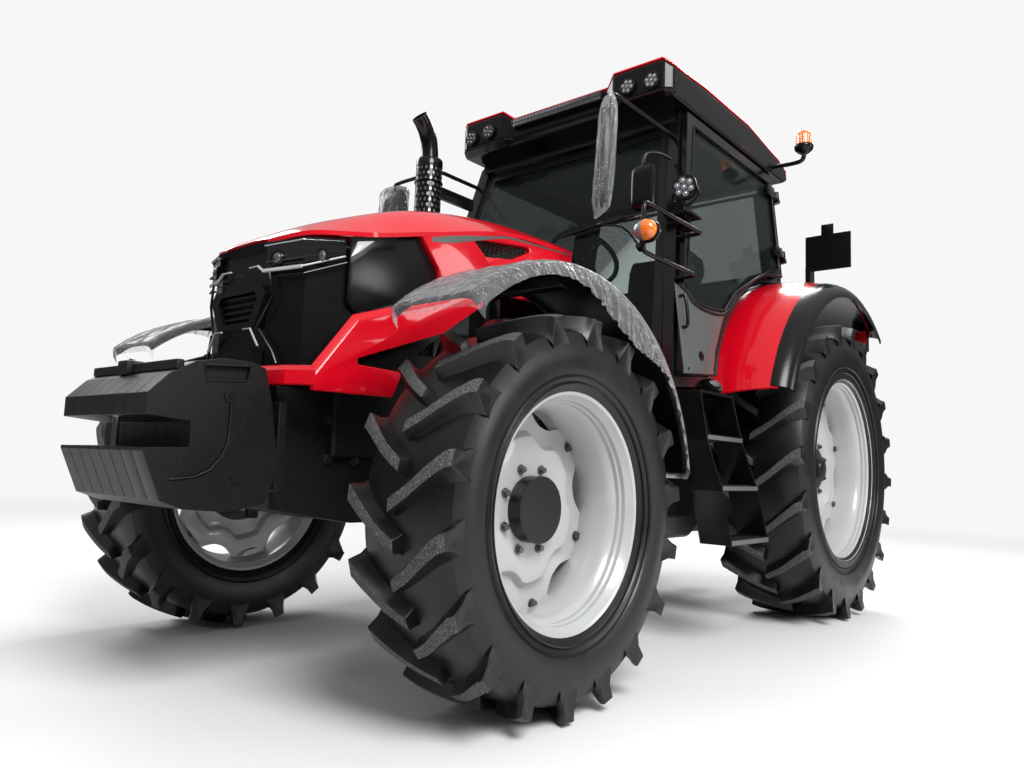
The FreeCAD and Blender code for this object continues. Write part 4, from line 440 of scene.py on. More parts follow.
EDGE_WIDTHS = {
    "weights": 0.007, "cab_frame": 0.005, "door_left": 0.004, "door_right": 0.004, "roof": 0.026, "roof_cap": 0.004,
    "steps": 0.002, "fuel_tanks": 0.022, "cab_tub": 0.004, "front_bolster": 0.006, "gearbox": 0.012,
    "engine_block": 0.012, "rear_axle": 0.006, "knuckle_left": 0.008, "knuckle_right": 0.008, "front_axle": 0.006,
    "plate_bracket": 0.002, "cowl": 0.006, "grille_mask": 0.003, "lift_arms": 0.004, "lift_rods": 0.004,
    "lower_links": 0.004, "top_link": 0.003, "drawbar": 0.004,
}
WELD_GAP = 0.00005
FLAT_ANGLE = math.radians(0.5)
SHARP_ANGLE = math.radians(28)
for name, width in EDGE_WIDTHS.items():
    weld = cad[name].modifiers.new("weld", "WELD")
    weld.merge_threshold = WELD_GAP
    flatten = cad[name].modifiers.new("flatten", "DECIMATE")
    flatten.decimate_type = "DISSOLVE"
    flatten.angle_limit = FLAT_ANGLE
    rounding = cad[name].modifiers.new("rounding", "BEVEL")
    rounding.limit_method = "ANGLE"
    rounding.angle_limit = SHARP_ANGLE
    rounding.width = width
    rounding.segments = 3 if name == "roof" else 2


# Hood: pressed sheet steel in glossy red, a crowned skin with a crease along each side over flat side panels.
# The skin is lofted across and thickened. Each panel is cut from its outline with a vent, its belt folded out, and
# a chin joins the two belts in front.

FRONT_Y = -1.25
HOOD_HALF = 0.385
HOOD_LINES = [
    # back from the front axle, half width, heights at the middle, the crease and the shoulder
    (-0.560, 0.130, 1.512, 1.510, 1.506),
    (-0.498, 0.293, 1.552, 1.549, 1.527),
    (-0.309, 0.385, 1.645, 1.632, 1.552),
    (0.000, 0.385, 1.757, 1.743, 1.634),
    (0.430, 0.385, 1.824, 1.814, 1.740),
    (0.870, 0.385, 1.838, 1.828, 1.762),
]
CREASE = 0.64
SKIN_THICK = 0.010
PANEL_THICK = 0.024
hood = bmesh.new()
rings = []
for back, half, middle, crease, shoulder in through(HOOD_LINES, 10):
    half = min(half, HOOD_HALF)
    side = []
    for k in range(16):
        share = k / 15
        if share <= CREASE:
            height = middle - (middle - crease) * (share / CREASE) ** 2
        else:
            height = crease - (crease - shoulder) * ((share - CREASE) / (1 - CREASE)) ** 1.3
        side.append(Vector((half * share, FRONT_Y + back, height)))
    side.append(side[-1] - Vector((0, 0, 0.016)))
    rings.append([Vector((-p.x, p.y, p.z)) for p in side[:0:-1]] + side)
skin = add_loft(hood, rings, capped=False, closed=False)
bmesh.ops.recalc_face_normals(hood, faces=skin)
if sum(face.normal.z for face in skin) < 0:
    bmesh.ops.reverse_faces(hood, faces=skin)
bmesh.ops.solidify(hood, geom=skin, thickness=SKIN_THICK)

PANEL = [
    # back from the front axle, height
    (0.870, 1.500), (0.470, 1.471), (0.405, 1.488), (0.060, 1.254), (-0.342, 1.105), (-0.342, 1.085),
    (-0.138, 1.081), (-0.180, 0.986), (-0.513, 0.980), (-0.513, 1.063), (-0.360, 1.255), (0.050, 1.394),
    (0.019, 1.490), (-0.078, 1.600), (0.000, 1.622), (0.215, 1.682), (0.430, 1.727), (0.870, 1.752),
]
VENT = [(0.205, 1.653), (0.300, 1.673), (0.545, 1.706), (0.562, 1.690), (0.440, 1.630), (0.276, 1.602)]
FOLD = {(-0.513, 1.063), (-0.360, 1.255), (0.050, 1.394), (0.019, 1.490)}
for side in (1, -1):
    panel = bmesh.new()
    borders = []
    for outline in (PANEL, VENT):
        verts = [panel.verts.new((side * HOOD_HALF, FRONT_Y + y, z)) for y, z in outline]
        borders += [panel.edges.new((verts[k - 1], verts[k])) for k in range(len(verts))]
    bmesh.ops.triangle_fill(panel, edges=borders, use_beauty=True)
    grown = bmesh.ops.extrude_face_region(panel, geom=list(panel.faces))["geom"]
    bmesh.ops.translate(panel, vec=(-side * PANEL_THICK, 0, 0),
                        verts=[g for g in grown if isinstance(g, bmesh.types.BMVert)])
    bmesh.ops.recalc_face_normals(panel, faces=panel.faces)
    bmesh.ops.dissolve_limit(panel, angle_limit=math.radians(1), verts=panel.verts, edges=panel.edges)
    folded, plain = [], []
    for edge in panel.edges:
        ends = [(round(v.co.y - FRONT_Y, 3), round(v.co.z, 3)) for v in edge.verts]
        if all(abs(v.co.x - side * HOOD_HALF) < 1e-5 for v in edge.verts) and edge.calc_face_angle(0) > 1:
            (folded if all(end in FOLD for end in ends) else plain).append(edge)
    bmesh.ops.bevel(panel, geom=folded, offset=0.022, segments=1, profile=0.5, affect="EDGES", material=-1)
    soft = [e for e in panel.edges if len(e.link_faces) == 2 and e.calc_face_angle(0) > 0.35
            and max(abs(v.co.x) for v in e.verts) > HOOD_HALF - 0.012]
    bmesh.ops.bevel(panel, geom=soft, offset=0.005, segments=2, profile=0.5, affect="EDGES", material=-1)
    panel_data = bpy.data.meshes.new("panel")
    panel.to_mesh(panel_data)
    panel.free()
    hood.from_mesh(panel_data)
CHIN = [(0.385, -0.513), (0.300, -0.570), (0.120, -0.600), (-0.120, -0.600), (-0.300, -0.570), (-0.385, -0.513)]
CHIN_THICK = 0.022
outside = [Vector((x, FRONT_Y + y, 0)) for x, y in CHIN]
inside = [Vector((x * 0.945, FRONT_Y + y + CHIN_THICK, 0)) for x, y in CHIN]
CHIN_EDGES = [(0.995, 0.004), (0.999, 0.0), (1.044, 0.0), (1.060, 0.012), (1.063, 0.018)]
outline = [[p + (q - p) * (inset / CHIN_THICK) + Vector((0, 0, z)) for p, q in zip(outside, inside)]
           for z, inset in CHIN_EDGES]
outline += [[q + Vector((0, 0, z)) for q in inside] for z in (1.060, 0.998)]
add_loft(hood, [[row[k] for row in outline] for k in range(len(CHIN))])
piece("hood_skin", hood, red, "hood", sharp=24.0, stands_for=["hood_shell"])

# Hood hinge lugs of black steel, and the silver stripe stuck on under each crease, wide in front and thin behind.
# The stripe is lofted between two heights along the panel and stands 1 mm proud of it.


def add_box(mesh, low, high, bevel=0.0, segments=2):
    """A block between two corners, its edges rounded."""
    low, high = Vector(low), Vector(high)
    made = bmesh.ops.create_cube(mesh, size=1.0)["verts"]
    bmesh.ops.scale(mesh, vec=high - low, verts=made)
    bmesh.ops.translate(mesh, vec=(low + high) / 2, verts=made)
    if bevel:
        edges = list({edge for vert in made for edge in vert.link_edges})
        bmesh.ops.bevel(mesh, geom=edges, offset=bevel, segments=segments, profile=0.5, affect="EDGES", material=-1)


silver = finish("silver panel", (0.105, 0.120, 0.115), 0.30, metal=0.4, coat=0.5, vary=0.06, bump=0.03)
lugs = bmesh.new()
for side in (1, -1):
    low, high = sorted((side * 0.240, side * 0.258))
    add_box(lugs, (low, -0.420, 1.682), (high, -0.380, 1.797), 0.003)
piece("hood_lugs", lugs, steel_black, "hood")
STRIPE = [
    # back from the front axle, lower edge, upper edge
    (-0.030, 1.590, 1.606), (0.060, 1.606, 1.634), (0.140, 1.630, 1.656), (0.220, 1.655, 1.675), (0.330, 1.690, 1.701),
    (0.430, 1.713, 1.722), (0.650, 1.729, 1.736), (0.855, 1.741, 1.747),
]
for side, side_name in SIDES:
    stripe = bmesh.new()
    outer, inner = side * (HOOD_HALF + 0.0010), side * (HOOD_HALF - 0.002)
    add_loft(stripe, [[Vector((outer, FRONT_Y + y, low)), Vector((outer, FRONT_Y + y, high)),
                       Vector((inner, FRONT_Y + y, high)), Vector((inner, FRONT_Y + y, low))]
                      for y, low, high in through(STRIPE, 4)])
    piece(f"hood_stripe_{side_name}", stripe, silver, "hood")

# Vent: a dark grid of steel rods behind the opening in each side panel, fixed to the panel's inner face.
# Upright rods lean back a little and level rods cross them.
mesh_black = finish("grille mesh", (0.0040, 0.0040, 0.0045), 0.40, vary=0.3, grain=500.0, bump=0.3, shine=0.35)
grid = bmesh.new()
for side in (1, -1):
    for k in range(14):
        y = FRONT_Y + 0.215 + 0.026 * k
        add_rod(grid, (side * 0.352, y, 1.590), (side * 0.352, y + 0.030, 1.712), 0.0035, sides=6)
    for k in range(9):
        z = 1.600 + 0.013 * k
        add_rod(grid, (side * 0.352, FRONT_Y + 0.190, z), (side * 0.352, FRONT_Y + 0.590, z), 0.0030, sides=6)
piece("vent_mesh", grid, mesh_black, "hood")


# Nose: bright plastic strips round the lamps and the grille, clipped on the dark mask under the hood's edge.
# Each strip is a short loft with a raised middle, on both sides of the mask.

bright = finish("bright strip", (0.52, 0.53, 0.54), 0.25, metal=0.15, coat=0.6, vary=0.1, bump=0.02)
NOSE_TRIMS = [
    # start, end, half height, across the left side
    ((0.060, -1.829, 1.409), (0.112, -1.829, 1.409), 0.0030),
    ((0.112, -1.829, 1.409), (0.142, -1.827, 1.389), 0.0050),
    ((0.142, -1.827, 1.389), (0.292, -1.777, 1.397), 0.0070),
    ((0.292, -1.777, 1.397), (0.349, -1.645, 1.452), 0.0035),
    ((0.150, -1.830, 1.474), (0.294, -1.777, 1.488), 0.0018),
    ((0.294, -1.777, 1.488), (0.346, -1.645, 1.505), 0.0018),
    ((0.070, -1.842, 1.191), (0.112, -1.842, 1.191), 0.0030),
    ((0.112, -1.842, 1.191), (0.160, -1.838, 1.128), 0.0035),
]
trim = bmesh.new()
for start, end, half in NOSE_TRIMS:
    for side in (1, -1):
        a, b = (Vector((side * p[0], p[1], p[2])) for p in (start, end))
        out = Vector((side * 0.25, -1, 0)).normalized()
        up = (b - a).cross(out).normalized() * half
        if up.z < 0:
            up = -up
        add_loft(trim, [[p - up, p - up * 0.6 + out * 0.004, p + up * 0.6 + out * 0.004, p + up, p - out * 0.006]
                        for p in (a, b)])
piece("nose_trim", trim, bright, "hood", sharp=20.0)

# Lamp ends: a solid dark inner panel up to the hood's edge, the brow's raised end and the silver triangle on it. The
# inner panel is partly the dark side grille and partly painted shade, since it fills the opening where the shaded
# engine bay shows through.
# Each is a flat plate cut to its outline, bevelled on its outer rim and fixed on the one below.
NOSE_PLATES = [
    # name, from and to across, outline back and up, finish
    # solid black plate in the side opening: the dark grille, and painted shade for the engine bay behind it
    ("nose_side_panels_painted_shade", 0.3615, 0.3655, [
        (-1.640, 1.300), (-1.606, 1.264), (-1.204, 1.396), (-1.236, 1.486), (-1.329, 1.596), (-1.400, 1.583),
        (-1.560, 1.542), (-1.640, 1.520)], plastic),
    ("lamp_brows", 0.3655, 0.3700, [
        (-1.640, 1.424), (-1.545, 1.492), (-1.449, 1.520), (-1.430, 1.576), (-1.560, 1.542), (-1.640, 1.518)], plastic),
    ("lamp_fins", 0.3700, 0.3735, [
        (-1.640, 1.447), (-1.599, 1.477), (-1.540, 1.528), (-1.614, 1.508), (-1.622, 1.487)], bright),
]
for plate_name, low, high, outline, paint in NOSE_PLATES:
    plates = bmesh.new()
    for side in (1, -1):
        add_plate(plates, [(side * low, y, z) for y, z in outline], Vector((side * (high - low), 0, 0)))
    rims = [e for e in plates.edges if all(abs(abs(v.co.x) - high) < 1e-5 for v in e.verts)]
    bmesh.ops.bevel(plates, geom=rims, offset=0.0018, segments=2, profile=0.5, affect="EDGES", material=-1)
    piece(plate_name, plates, paint, "hood", sharp=25.0)


def add_ball(mesh, centre, radius, squash=(1, 1, 1)):
    """A ball or egg round a centre."""
    made = bmesh.ops.create_uvsphere(mesh, u_segments=24, v_segments=14, radius=radius)["verts"]
    bmesh.ops.scale(mesh, vec=squash, verts=made)
    bmesh.ops.translate(mesh, vec=centre, verts=made)


def add_tube(mesh, points, radius, sides=12, steps=1):
    """A round tube along points, or along the smooth curve through them where steps is more than 1."""
    path = [Vector(p) for p in (through(points, steps) if steps > 1 else points)]
    rings = []
    side = None
    for i, spot in enumerate(path):
        ahead = (path[min(i + 1, len(path) - 1)] - path[max(i - 1, 0)]).normalized()
        if side is None:
            side = ahead.orthogonal()
        side = (side - ahead * side.dot(ahead)).normalized()
        up = ahead.cross(side)
        rings.append([spot + radius * (math.cos(math.tau * k / sides) * side + math.sin(math.tau * k / sides) * up)
                      for k in range(sides)])
    add_loft(mesh, rings)


# Lamp projectors: two glass balls in turned bowls on each side, with a thin bar below them, fixed to the dark mask.
# The bowls are cones about each lamp's own direction.
lens_ball = finish("projector glass", (0.06, 0.065, 0.07), 0.04, coat=1.0, vary=0.1, bump=0.0)
chrome_dark = finish("lamp bowl", (0.05, 0.05, 0.055), 0.18, metal=1.0, vary=0.1, bump=0.0)
projector, bowl = bmesh.new(), bmesh.new()
for side in (1, -1):
    for x, y, z, aside in ((0.194, -1.808, 1.430, 0.36), (0.312, -1.716, 1.441, 1.40)):
        out = Vector((side * aside, -1, 0)).normalized()
        middle = Vector((side * x, y, z))
        add_rod(bowl, middle + out * -0.006, middle + out * 0.004, 0.024, 0.028, 28)
        add_rod(bowl, middle + out * 0.002, middle + out * 0.0055, 0.0265, 0.0225, 28)
        add_ball(projector, middle + out * 0.002, 0.0195, (1, 0.55, 1))
    add_tube(bowl, [(side * 0.160, -1.826, 1.417), (side * 0.285, -1.783, 1.424), (side * 0.333, -1.664, 1.466)],
             0.004, 8)
piece("lamp_projectors", projector, lens_ball, "hood")
piece("lamp_bowls", bowl, chrome_dark, "hood")

# Grille: a fine black mesh of crossed bars set in the opening at the middle of the mask.
GRILLE_Z = 1.269
weave = bmesh.new()
for k in range(-12, 13):
    x = k * 0.0108
    reach = 0.050 if abs(x) < 0.085 else 0.050 - (abs(x) - 0.085) * 0.7
    add_box(weave, (x - 0.0013, -1.8095, GRILLE_Z - reach), (x + 0.0013, -1.8065, GRILLE_Z + reach))
for k in range(-4, 5):
    add_box(weave, (-0.125, -1.8100, GRILLE_Z + k * 0.0112 - 0.0011), (0.125, -1.8070, GRILLE_Z + k * 0.0112 + 0.0011))
piece("grille_mesh", weave, mesh_black, "hood")

# Creases of the mask: rounded plastic bars that run from the lamps down to the spoiler, moulded with it, and short
# louvres on its sides.
crease = bmesh.new()
for side in (1, -1):
    for points, radius in (
        ([(0.178, -1.8255, 1.380), (0.196, -1.820, 1.300), (0.135, -1.836, 1.190)], 0.0050),
        ([(0.150, -1.833, 1.186), (0.205, -1.812, 1.110), (0.226, -1.806, 1.068)], 0.0060),
        ([(0.352, -1.640, 1.430), (0.300, -1.772, 1.372), (0.205, -1.812, 1.366)], 0.0040),
    ):
        add_tube(crease, [(side * x, y, z) for x, y, z in points], radius, 8)
    for k in range(6):
        z = 1.142 + 0.034 * k
        add_tube(crease, [(side * 0.3600, -1.560 - 0.004 * k, z), (side * 0.3600, -1.460, z + 0.020)], 0.0035, 6)
piece("mask_creases", crease, plastic, "hood")


# Fenders: arches over each wheel. The rear ones are red sheet steel with a black inner strip, a black liner below and
# a folded plastic lip outside; the front ones are black plastic on posts that turn with the knuckles.
# Each is a closed profile carried round the wheel.

def add_arch(mesh, profile, centre, start, end, steps, slant=0.0):
    """A closed profile of (x, radius) carried round an X axis between two angles above the front, its start slanted."""
    rings = []
    first = min(x for x, _ in profile)
    for k in range(steps + 1):
        ring = []
        for x, r in profile:
            begin = start + slant * (x - first)
            ring.append(Vector(centre) + around(x, math.radians(begin + (end - begin) * k / steps), r))
        rings.append(ring)
    add_loft(mesh, rings)


seal = finish("rubber seal", (0.0040, 0.0040, 0.0042), 0.45, bump=0.05, shine=0.3)
REAR_HUB = (0, 1.30, 0.815)
FRONT_ARCH = (0, -1.29, 0.645)
for side, side_name in SIDES:
    arch = bmesh.new()
    skin = [(0.660, 1.0635), (0.740, 1.0700), (0.822, 1.0750), (0.900, 1.0690), (0.980, 1.0560), (1.050, 1.0390),
            (1.078, 1.0300), (1.078, 1.0170), (0.980, 1.0430), (0.822, 1.0610), (0.660, 1.0500)]
    add_arch(arch, skin, REAR_HUB, 17.0, 125.0, 72, slant=9.0)
    border = bmesh.new()
    strip = [(0.619, 1.0600), (0.630, 1.0680), (0.694, 1.0745), (0.704, 1.0715), (0.704, 1.0540), (0.619, 1.0460)]
    add_arch(border, strip, REAR_HUB, 17.0, 125.0, 72)
    lip = bmesh.new()
    fold = [(1.0470, 1.0385), (1.0485, 1.0440), (1.0560, 1.0435), (1.0860, 1.0345), (1.1080, 1.0230),
            (1.1240, 1.0100), (1.1370, 0.9880), (1.1395, 0.9720), (1.1395, 0.9580), (1.1340, 0.9580),
            (1.1320, 0.9860), (1.1190, 1.0040), (1.0800, 1.0180)]
    add_arch(lip, fold, REAR_HUB, 21.0, 125.0, 70)
    liner = bmesh.new()
    under = [(0.664, 1.0508), (0.822, 1.0618), (0.980, 1.0438), (1.076, 1.0180), (1.076, 1.0130), (0.980, 1.0390),
             (0.822, 1.0570), (0.664, 1.0460)]
    add_arch(liner, under, REAR_HUB, 17.3, 124.7, 72, slant=9.0)
    for mesh in (arch, border, lip, liner):
        turn_over(mesh, side)
    piece(f"rear_fender_{side_name}", arch, red, "chassis", sharp=34.0, stands_for=["rear_fenders"])
    piece(f"fender_border_{side_name}", border, seal, "chassis")
    piece(f"fender_liner_{side_name}", liner, plastic, "chassis", sharp=34.0)
    piece(f"fender_lip_{side_name}", lip, plastic, "chassis", sharp=28.0, stands_for=["fender_lips"])

    front = bmesh.new()
    crown = [(0.760, 0.716), (0.7605, 0.736), (0.768, 0.744), (0.790, 0.7495), (0.850, 0.7500), (0.990, 0.7500),
             (1.050, 0.7495), (1.072, 0.744), (1.0795, 0.736), (1.080, 0.716), (1.074, 0.716), (1.070, 0.735),
             (1.045, 0.7425), (0.795, 0.7425), (0.770, 0.735), (0.766, 0.716)]
    add_arch(front, crown, FRONT_ARCH, 49.0, 171.0, 64)
    for x in (0.850, 0.990):
        rib = [(x - 0.010, 0.7480), (x - 0.006, 0.7515), (x + 0.006, 0.7515), (x + 0.010, 0.7480)]
        add_arch(front, rib, FRONT_ARCH, 52.0, 168.0, 58)
    add_box(front, (0.655, -1.280, 0.721), (0.690, -1.220, 1.352), 0.006)
    add_box(front, (0.655, -1.280, 1.345), (0.990, -1.220, 1.387), 0.006)
    for x in (0.820, 0.940):
        for y in (-1.262, -1.238):
            add_rod(front, (x, y, 1.390), (x, y, 1.3975), 0.010, 0.008, 16)
    turn_over(front, side)
    piece(f"front_guard_{side_name}", front, plastic, f"knuckle_{side_name}", sharp=30.0,
          stands_for=[f"front_fender_{side_name}"])


# Films: the clear plastic of the factory, crumpled over each front fender, with a loose flap over its outer side.
# A sheet of 0.46 by 1.68 m follows the fender's crown, lifted by noise, and its long edges hang down.

film = clear("clear film", (0.75, 0.77, 0.79), (0.88, 0.89, 0.90), 0.08, 0.09, 0.95, crinkle=1.0)


def film_piece(name, rows, body):
    """A thin crumpled sheet through a grid of points."""
    mesh = bmesh.new()
    add_loft(mesh, rows, capped=False, closed=False)
    bmesh.ops.recalc_face_normals(mesh, faces=mesh.faces)
    sheet = piece(name, mesh, film, body, sharp=180.0)


FILM_IN, FILM_OUT = 0.756, 1.086
for side, side_name in SIDES:
    rows = []
    for k in range(150):
        share = k / 149
        turn = math.radians(47.5 + 125.0 * share)
        loose = math.exp(-((share - 0.52) / 0.16) ** 2)
        hang = 0.036 + 0.115 * loose
        row = []
        for m in range(30):
            s = m / 29
            if s < 0.12:
                x, drop = FILM_IN, (0.12 - s) / 0.12 * 0.040
            elif s < 0.62:
                x, drop = FILM_IN + (s - 0.12) / 0.50 * (FILM_OUT - FILM_IN), 0.0
            else:
                x, drop = FILM_OUT + 0.006 * (s - 0.62), (s - 0.62) / 0.38 * hang
            near_edge = min(abs(x - FILM_IN), abs(x - FILM_OUT))
            spot = Vector((x * 7.0, share * 21.0, drop * 8.0 + side * 5.0))
            crumple = noise.noise(spot * 1.3) + 0.6 * noise.noise(spot * 3.1) + 0.35 * noise.noise(spot * 6.7)
            lift = 0.0045 + 0.0055 * abs(crumple) + 0.010 * loose * (1 + noise.noise(spot * 2.0))
            if drop > 0 and s > 0.5:
                lift = 0.0
                waves = math.sin(share * 95.0 + 2.0 * noise.noise(spot)) + 0.5 * math.sin(share * 210.0 + 5 * x)
                x = x + 0.004 + (0.010 + 0.012 * abs(waves)) * min(1.0, drop / 0.06)
            radius = 0.7505 + lift - (0.004 if near_edge < 0.012 else 0.0)
            tip = max(0.0, 1 - min(share, 1 - share) / 0.012)
            radius -= 0.030 * tip
            point = Vector(FRONT_ARCH) + around(x, turn, radius)
            inward = Vector((0, math.cos(turn), -math.sin(turn)))
            down = inward if loose < 0.2 else (inward * (1 - loose) + Vector((0, 0, -1)) * loose).normalized()
            point = point + down * drop
            row.append(Vector((side * point.x, point.y, point.z)))
        rows.append(row)
    film_piece(f"fender_film_{side_name}", rows, f"knuckle_{side_name}")


# Ballast weights: eight cast iron C-shaped plates hung on the carrier. The outer faces carry a raised rib round the
# slot, the rim of the grip and two bosses, cast with them, and a flat bar on top is locked by plated pins.

chrome = finish("chrome", (0.80, 0.80, 0.82), 0.10, metal=1.0, vary=0.02, bump=0.0)


def circle(centre, across, up, count, closed=False):
    """Points round an ellipse from its middle and its two half axes, the first one again at the end if closed."""
    centre, across, up = Vector(centre), Vector(across), Vector(up)
    return [centre + across * math.cos(math.tau * k / count) + up * math.sin(math.tau * k / count)
            for k in range(count + 1 if closed else count)]


WEIGHT_FACE = 0.2875
WEIGHT_RIB = [(-1.990, 0.930), (-1.990, 0.850), (-1.993, 0.800), (-2.012, 0.752), (-2.048, 0.714), (-2.098, 0.693),
              (-2.170, 0.686)]
GRIP = [(-2.086, 1.028), (-1.935, 1.040), (-1.944, 0.992), (-2.078, 0.980), (-2.086, 1.028)]
cast = bmesh.new()
for side in (1, -1):
    face = side * WEIGHT_FACE
    for line, radius in ((WEIGHT_RIB, 0.0040), (GRIP, 0.0035)):
        add_tube(cast, [(face, y, z) for y, z in line], radius, 8)
    add_rod(cast, (face - side * 0.004, -1.998, 0.941), (face + side * 0.006, -1.998, 0.941), 0.022, 0.018, 28)
    add_rod(cast, (face, -1.998, 0.941), (face + side * 0.010, -1.998, 0.941), 0.009, 0.007, 16)
    add_rod(cast, (face - side * 0.004, -1.960, 0.690), (face + side * 0.005, -1.960, 0.690), 0.016, 0.013, 24)
add_box(cast, (-0.284, -2.172, 1.006), (0.284, -2.146, 1.036), 0.005)
add_box(cast, (-0.064, -2.190, 1.000), (0.000, -2.130, 1.046), 0.006)
piece("weight_castings", cast, casting, "chassis")
pins = bmesh.new()
add_rod(pins, (-0.032, -2.160, 1.040), (-0.032, -2.160, 1.0530), 0.009, sides=20)
add_rod(pins, (0.000, -2.205, 0.776), (0.000, -2.205, 0.868), 0.011, sides=20)
add_tube(pins, circle((-0.032, -2.160, 1.036), (0.022, 0, 0), (0, 0, 0.017), 24, closed=True), 0.0026, 8)
piece("weight_pins", pins, chrome, "chassis")

# Weight carrier: plated bolts with washers, screwed into both sides of the front support.
carrier = bmesh.new()
for side in (1, -1):
    for y, z in ((-1.560, 0.900), (-1.560, 0.760), (-1.420, 0.900), (-1.440, 0.760), (-1.080, 0.900), (-0.980, 0.860)):
        add_rod(carrier, (side * 0.199, y, z), (side * 0.206, y, z), 0.019, sides=24)
        add_rod(carrier, (side * 0.204, y, z), (side * 0.216, y, z), 0.014, sides=6)
piece("carrier_bolts", carrier, zinc, "chassis")


# Axle: the plated bolts of the cover round the pivot, the caps of the kingpins and the bolts of each knuckle.
# The first two ride on the axle beam and the last on its own knuckle.

axle = bmesh.new()
for k in range(10):
    angle = math.tau * k / 10
    out = Vector((0.066 * math.cos(angle), 0, 0.066 * math.sin(angle)))
    add_rod(axle, Vector((0, -1.333, 0.61)) + out, Vector((0, -1.344, 0.61)) + out, 0.008, sides=6)
for side in (1, -1):
    for z in (0.764, 0.486):
        add_rod(axle, (side * 0.740, -1.25, z - 0.004), (side * 0.740, -1.25, z + 0.004), 0.022, 0.019, 24)
    add_rod(axle, (side * 0.240, -1.309, 0.625), (side * 0.240, -1.296, 0.625), 0.010, sides=6)
piece("axle_bolts", axle, zinc, "front_axle")
for side, side_name in SIDES:
    knuckle = bmesh.new()
    for x in (0.702, 0.778):
        for y in (-1.322, -1.178):
            add_rod(knuckle, (side * x, y, 0.718), (side * x, y, 0.733), 0.012, sides=6)
            add_rod(knuckle, (side * x, y, 0.519), (side * x, y, 0.532), 0.012, sides=6)
    piece(f"knuckle_bolts_{side_name}", knuckle, zinc, f"knuckle_{side_name}")


# Cab: doors of black painted frame with a silver lower panel, rubber seals, a lock with its handle and hinge covers,
# and a red strip on the rear pillar. The sides lean in, so these pieces are placed along the cab, at a height, and
# out from the frame's face; all but the pillar's strip ride on their door.

LEAN = math.radians(7.3)
FRAME_X, FRAME_Z = 0.832, 1.2


def cab_spot(along, height, out=0.0, side=1):
    """A point of the leaning side, by its place along the cab, its height and its distance from the frame's face."""
    x = FRAME_X + out * math.cos(LEAN) - (height - FRAME_Z) * math.tan(LEAN)
    return Vector((side * x, along, height + out * math.sin(LEAN)))


def add_side_plate(mesh, outline, low, high, side, bevel=0.0):
    """A plate of the leaning side between two distances from the frame's face, its outer edges rounded."""
    inner = [cab_spot(y, z, low, side) for y, z in outline]
    outer = [cab_spot(y, z, high, side) for y, z in outline]
    verts = [mesh.verts.new(p) for p in inner]
    face = mesh.faces.new(verts)
    grown = bmesh.ops.extrude_face_region(mesh, geom=[face])["geom"]
    tops = [g for g in grown if isinstance(g, bmesh.types.BMVert)]
    for vert in tops:
        vert.co = outer[min(range(len(inner)), key=lambda k: (inner[k] - vert.co).length)]
    if bevel:
        rims = [e for e in mesh.edges if e.is_valid and all(v in tops for v in e.verts)]
        bmesh.ops.bevel(mesh, geom=rims, offset=bevel, segments=2, profile=0.5, affect="EDGES", material=-1)


DOOR_PANEL = [(-0.193, 1.207), (-0.193, 1.190), (0.104, 1.219), (0.150, 1.337), (0.276, 1.513), (0.318, 1.557),
              (0.300, 1.545), (0.110, 1.520), (-0.035, 1.536), (-0.090, 1.572), (-0.193, 1.600)]
DOOR_WINDOW = [(-0.080, 1.590), (-0.030, 1.555), (0.110, 1.540), (0.310, 1.560), (0.475, 1.690), (0.640, 1.765),
               (0.800, 1.835), (0.985, 1.915), (1.150, 1.965), (1.180, 2.500), (0.195, 2.500), (-0.075, 1.610)]
DOOR_FACE = 0.036
for side, side_name in SIDES:
    panel = bmesh.new()
    add_side_plate(panel, DOOR_PANEL, DOOR_FACE - 0.002, DOOR_FACE + 0.0030, side, 0.0015)
    piece(f"door_panel_{side_name}", panel, silver, f"door_{side_name}", sharp=20.0)
    band = bmesh.new()
    window = [cab_spot(y, z, DOOR_FACE + 0.001, side) for y, z in DOOR_WINDOW]
    add_tube(band, window + window[:1], 0.0060, 8)
    lower = [(-0.150, 1.600), (-0.085, 1.573), (-0.030, 1.536), (0.110, 1.521), (0.305, 1.545), (0.470, 1.676)]
    add_tube(band, [cab_spot(y, z, DOOR_FACE + 0.004, side) for y, z in lower], 0.0085, 10, steps=4)
    edge = [(0.136, 1.216), (0.184, 1.328), (0.313, 1.498), (0.513, 1.674), (0.766, 1.820), (0.976, 1.891),
            (1.180, 1.926)]
    add_tube(band, [cab_spot(y, z, DOOR_FACE - 0.004, side) for y, z in edge], 0.0090, 10, steps=4)
    piece(f"door_seal_{side_name}", band, seal, f"door_{side_name}")
    lock = bmesh.new()
    at, out = cab_spot(-0.010, 1.290, DOOR_FACE, side), Vector((side * math.cos(LEAN), 0, math.sin(LEAN)))
    add_rod(lock, at, at + out * 0.007, 0.024, 0.022, 32)
    add_rod(lock, at + out * 0.007, at + out * 0.011, 0.010, 0.009, 24)
    for y, z in ((-0.150, 1.215), (0.110, 1.240)):
        spot = cab_spot(y, z, DOOR_FACE, side)
        add_rod(lock, spot, spot + out * 0.006, 0.006, sides=6)
    handle = [cab_spot(-0.165, z, o, side) for z, o in ((1.40, 0.036), (1.41, 0.066), (1.53, 0.066), (1.54, 0.036))]
    add_tube(lock, handle, 0.008, 12, steps=5)
    piece(f"door_lock_{side_name}", lock, plastic, f"door_{side_name}")
    cover = bmesh.new()
    for height in (2.065, 2.445):
        outline = [(1.085, height - 0.030), (1.190, height - 0.030), (1.190, height + 0.030), (1.100, height + 0.030)]
        add_side_plate(cover, outline, DOOR_FACE - 0.001, DOOR_FACE + 0.022, side, 0.005)
    piece(f"hinge_covers_{side_name}", cover, plastic, f"door_{side_name}", sharp=24.0)
    strip = bmesh.new()
    pillar = [(1.254, 1.960), (1.2665, 1.960), (1.2735, 2.560), (1.2610, 2.560)]
    add_side_plate(strip, pillar, -0.002, 0.003, side, 0.001)
    piece(f"pillar_strip_{side_name}", strip, red, "chassis", sharp=20.0)

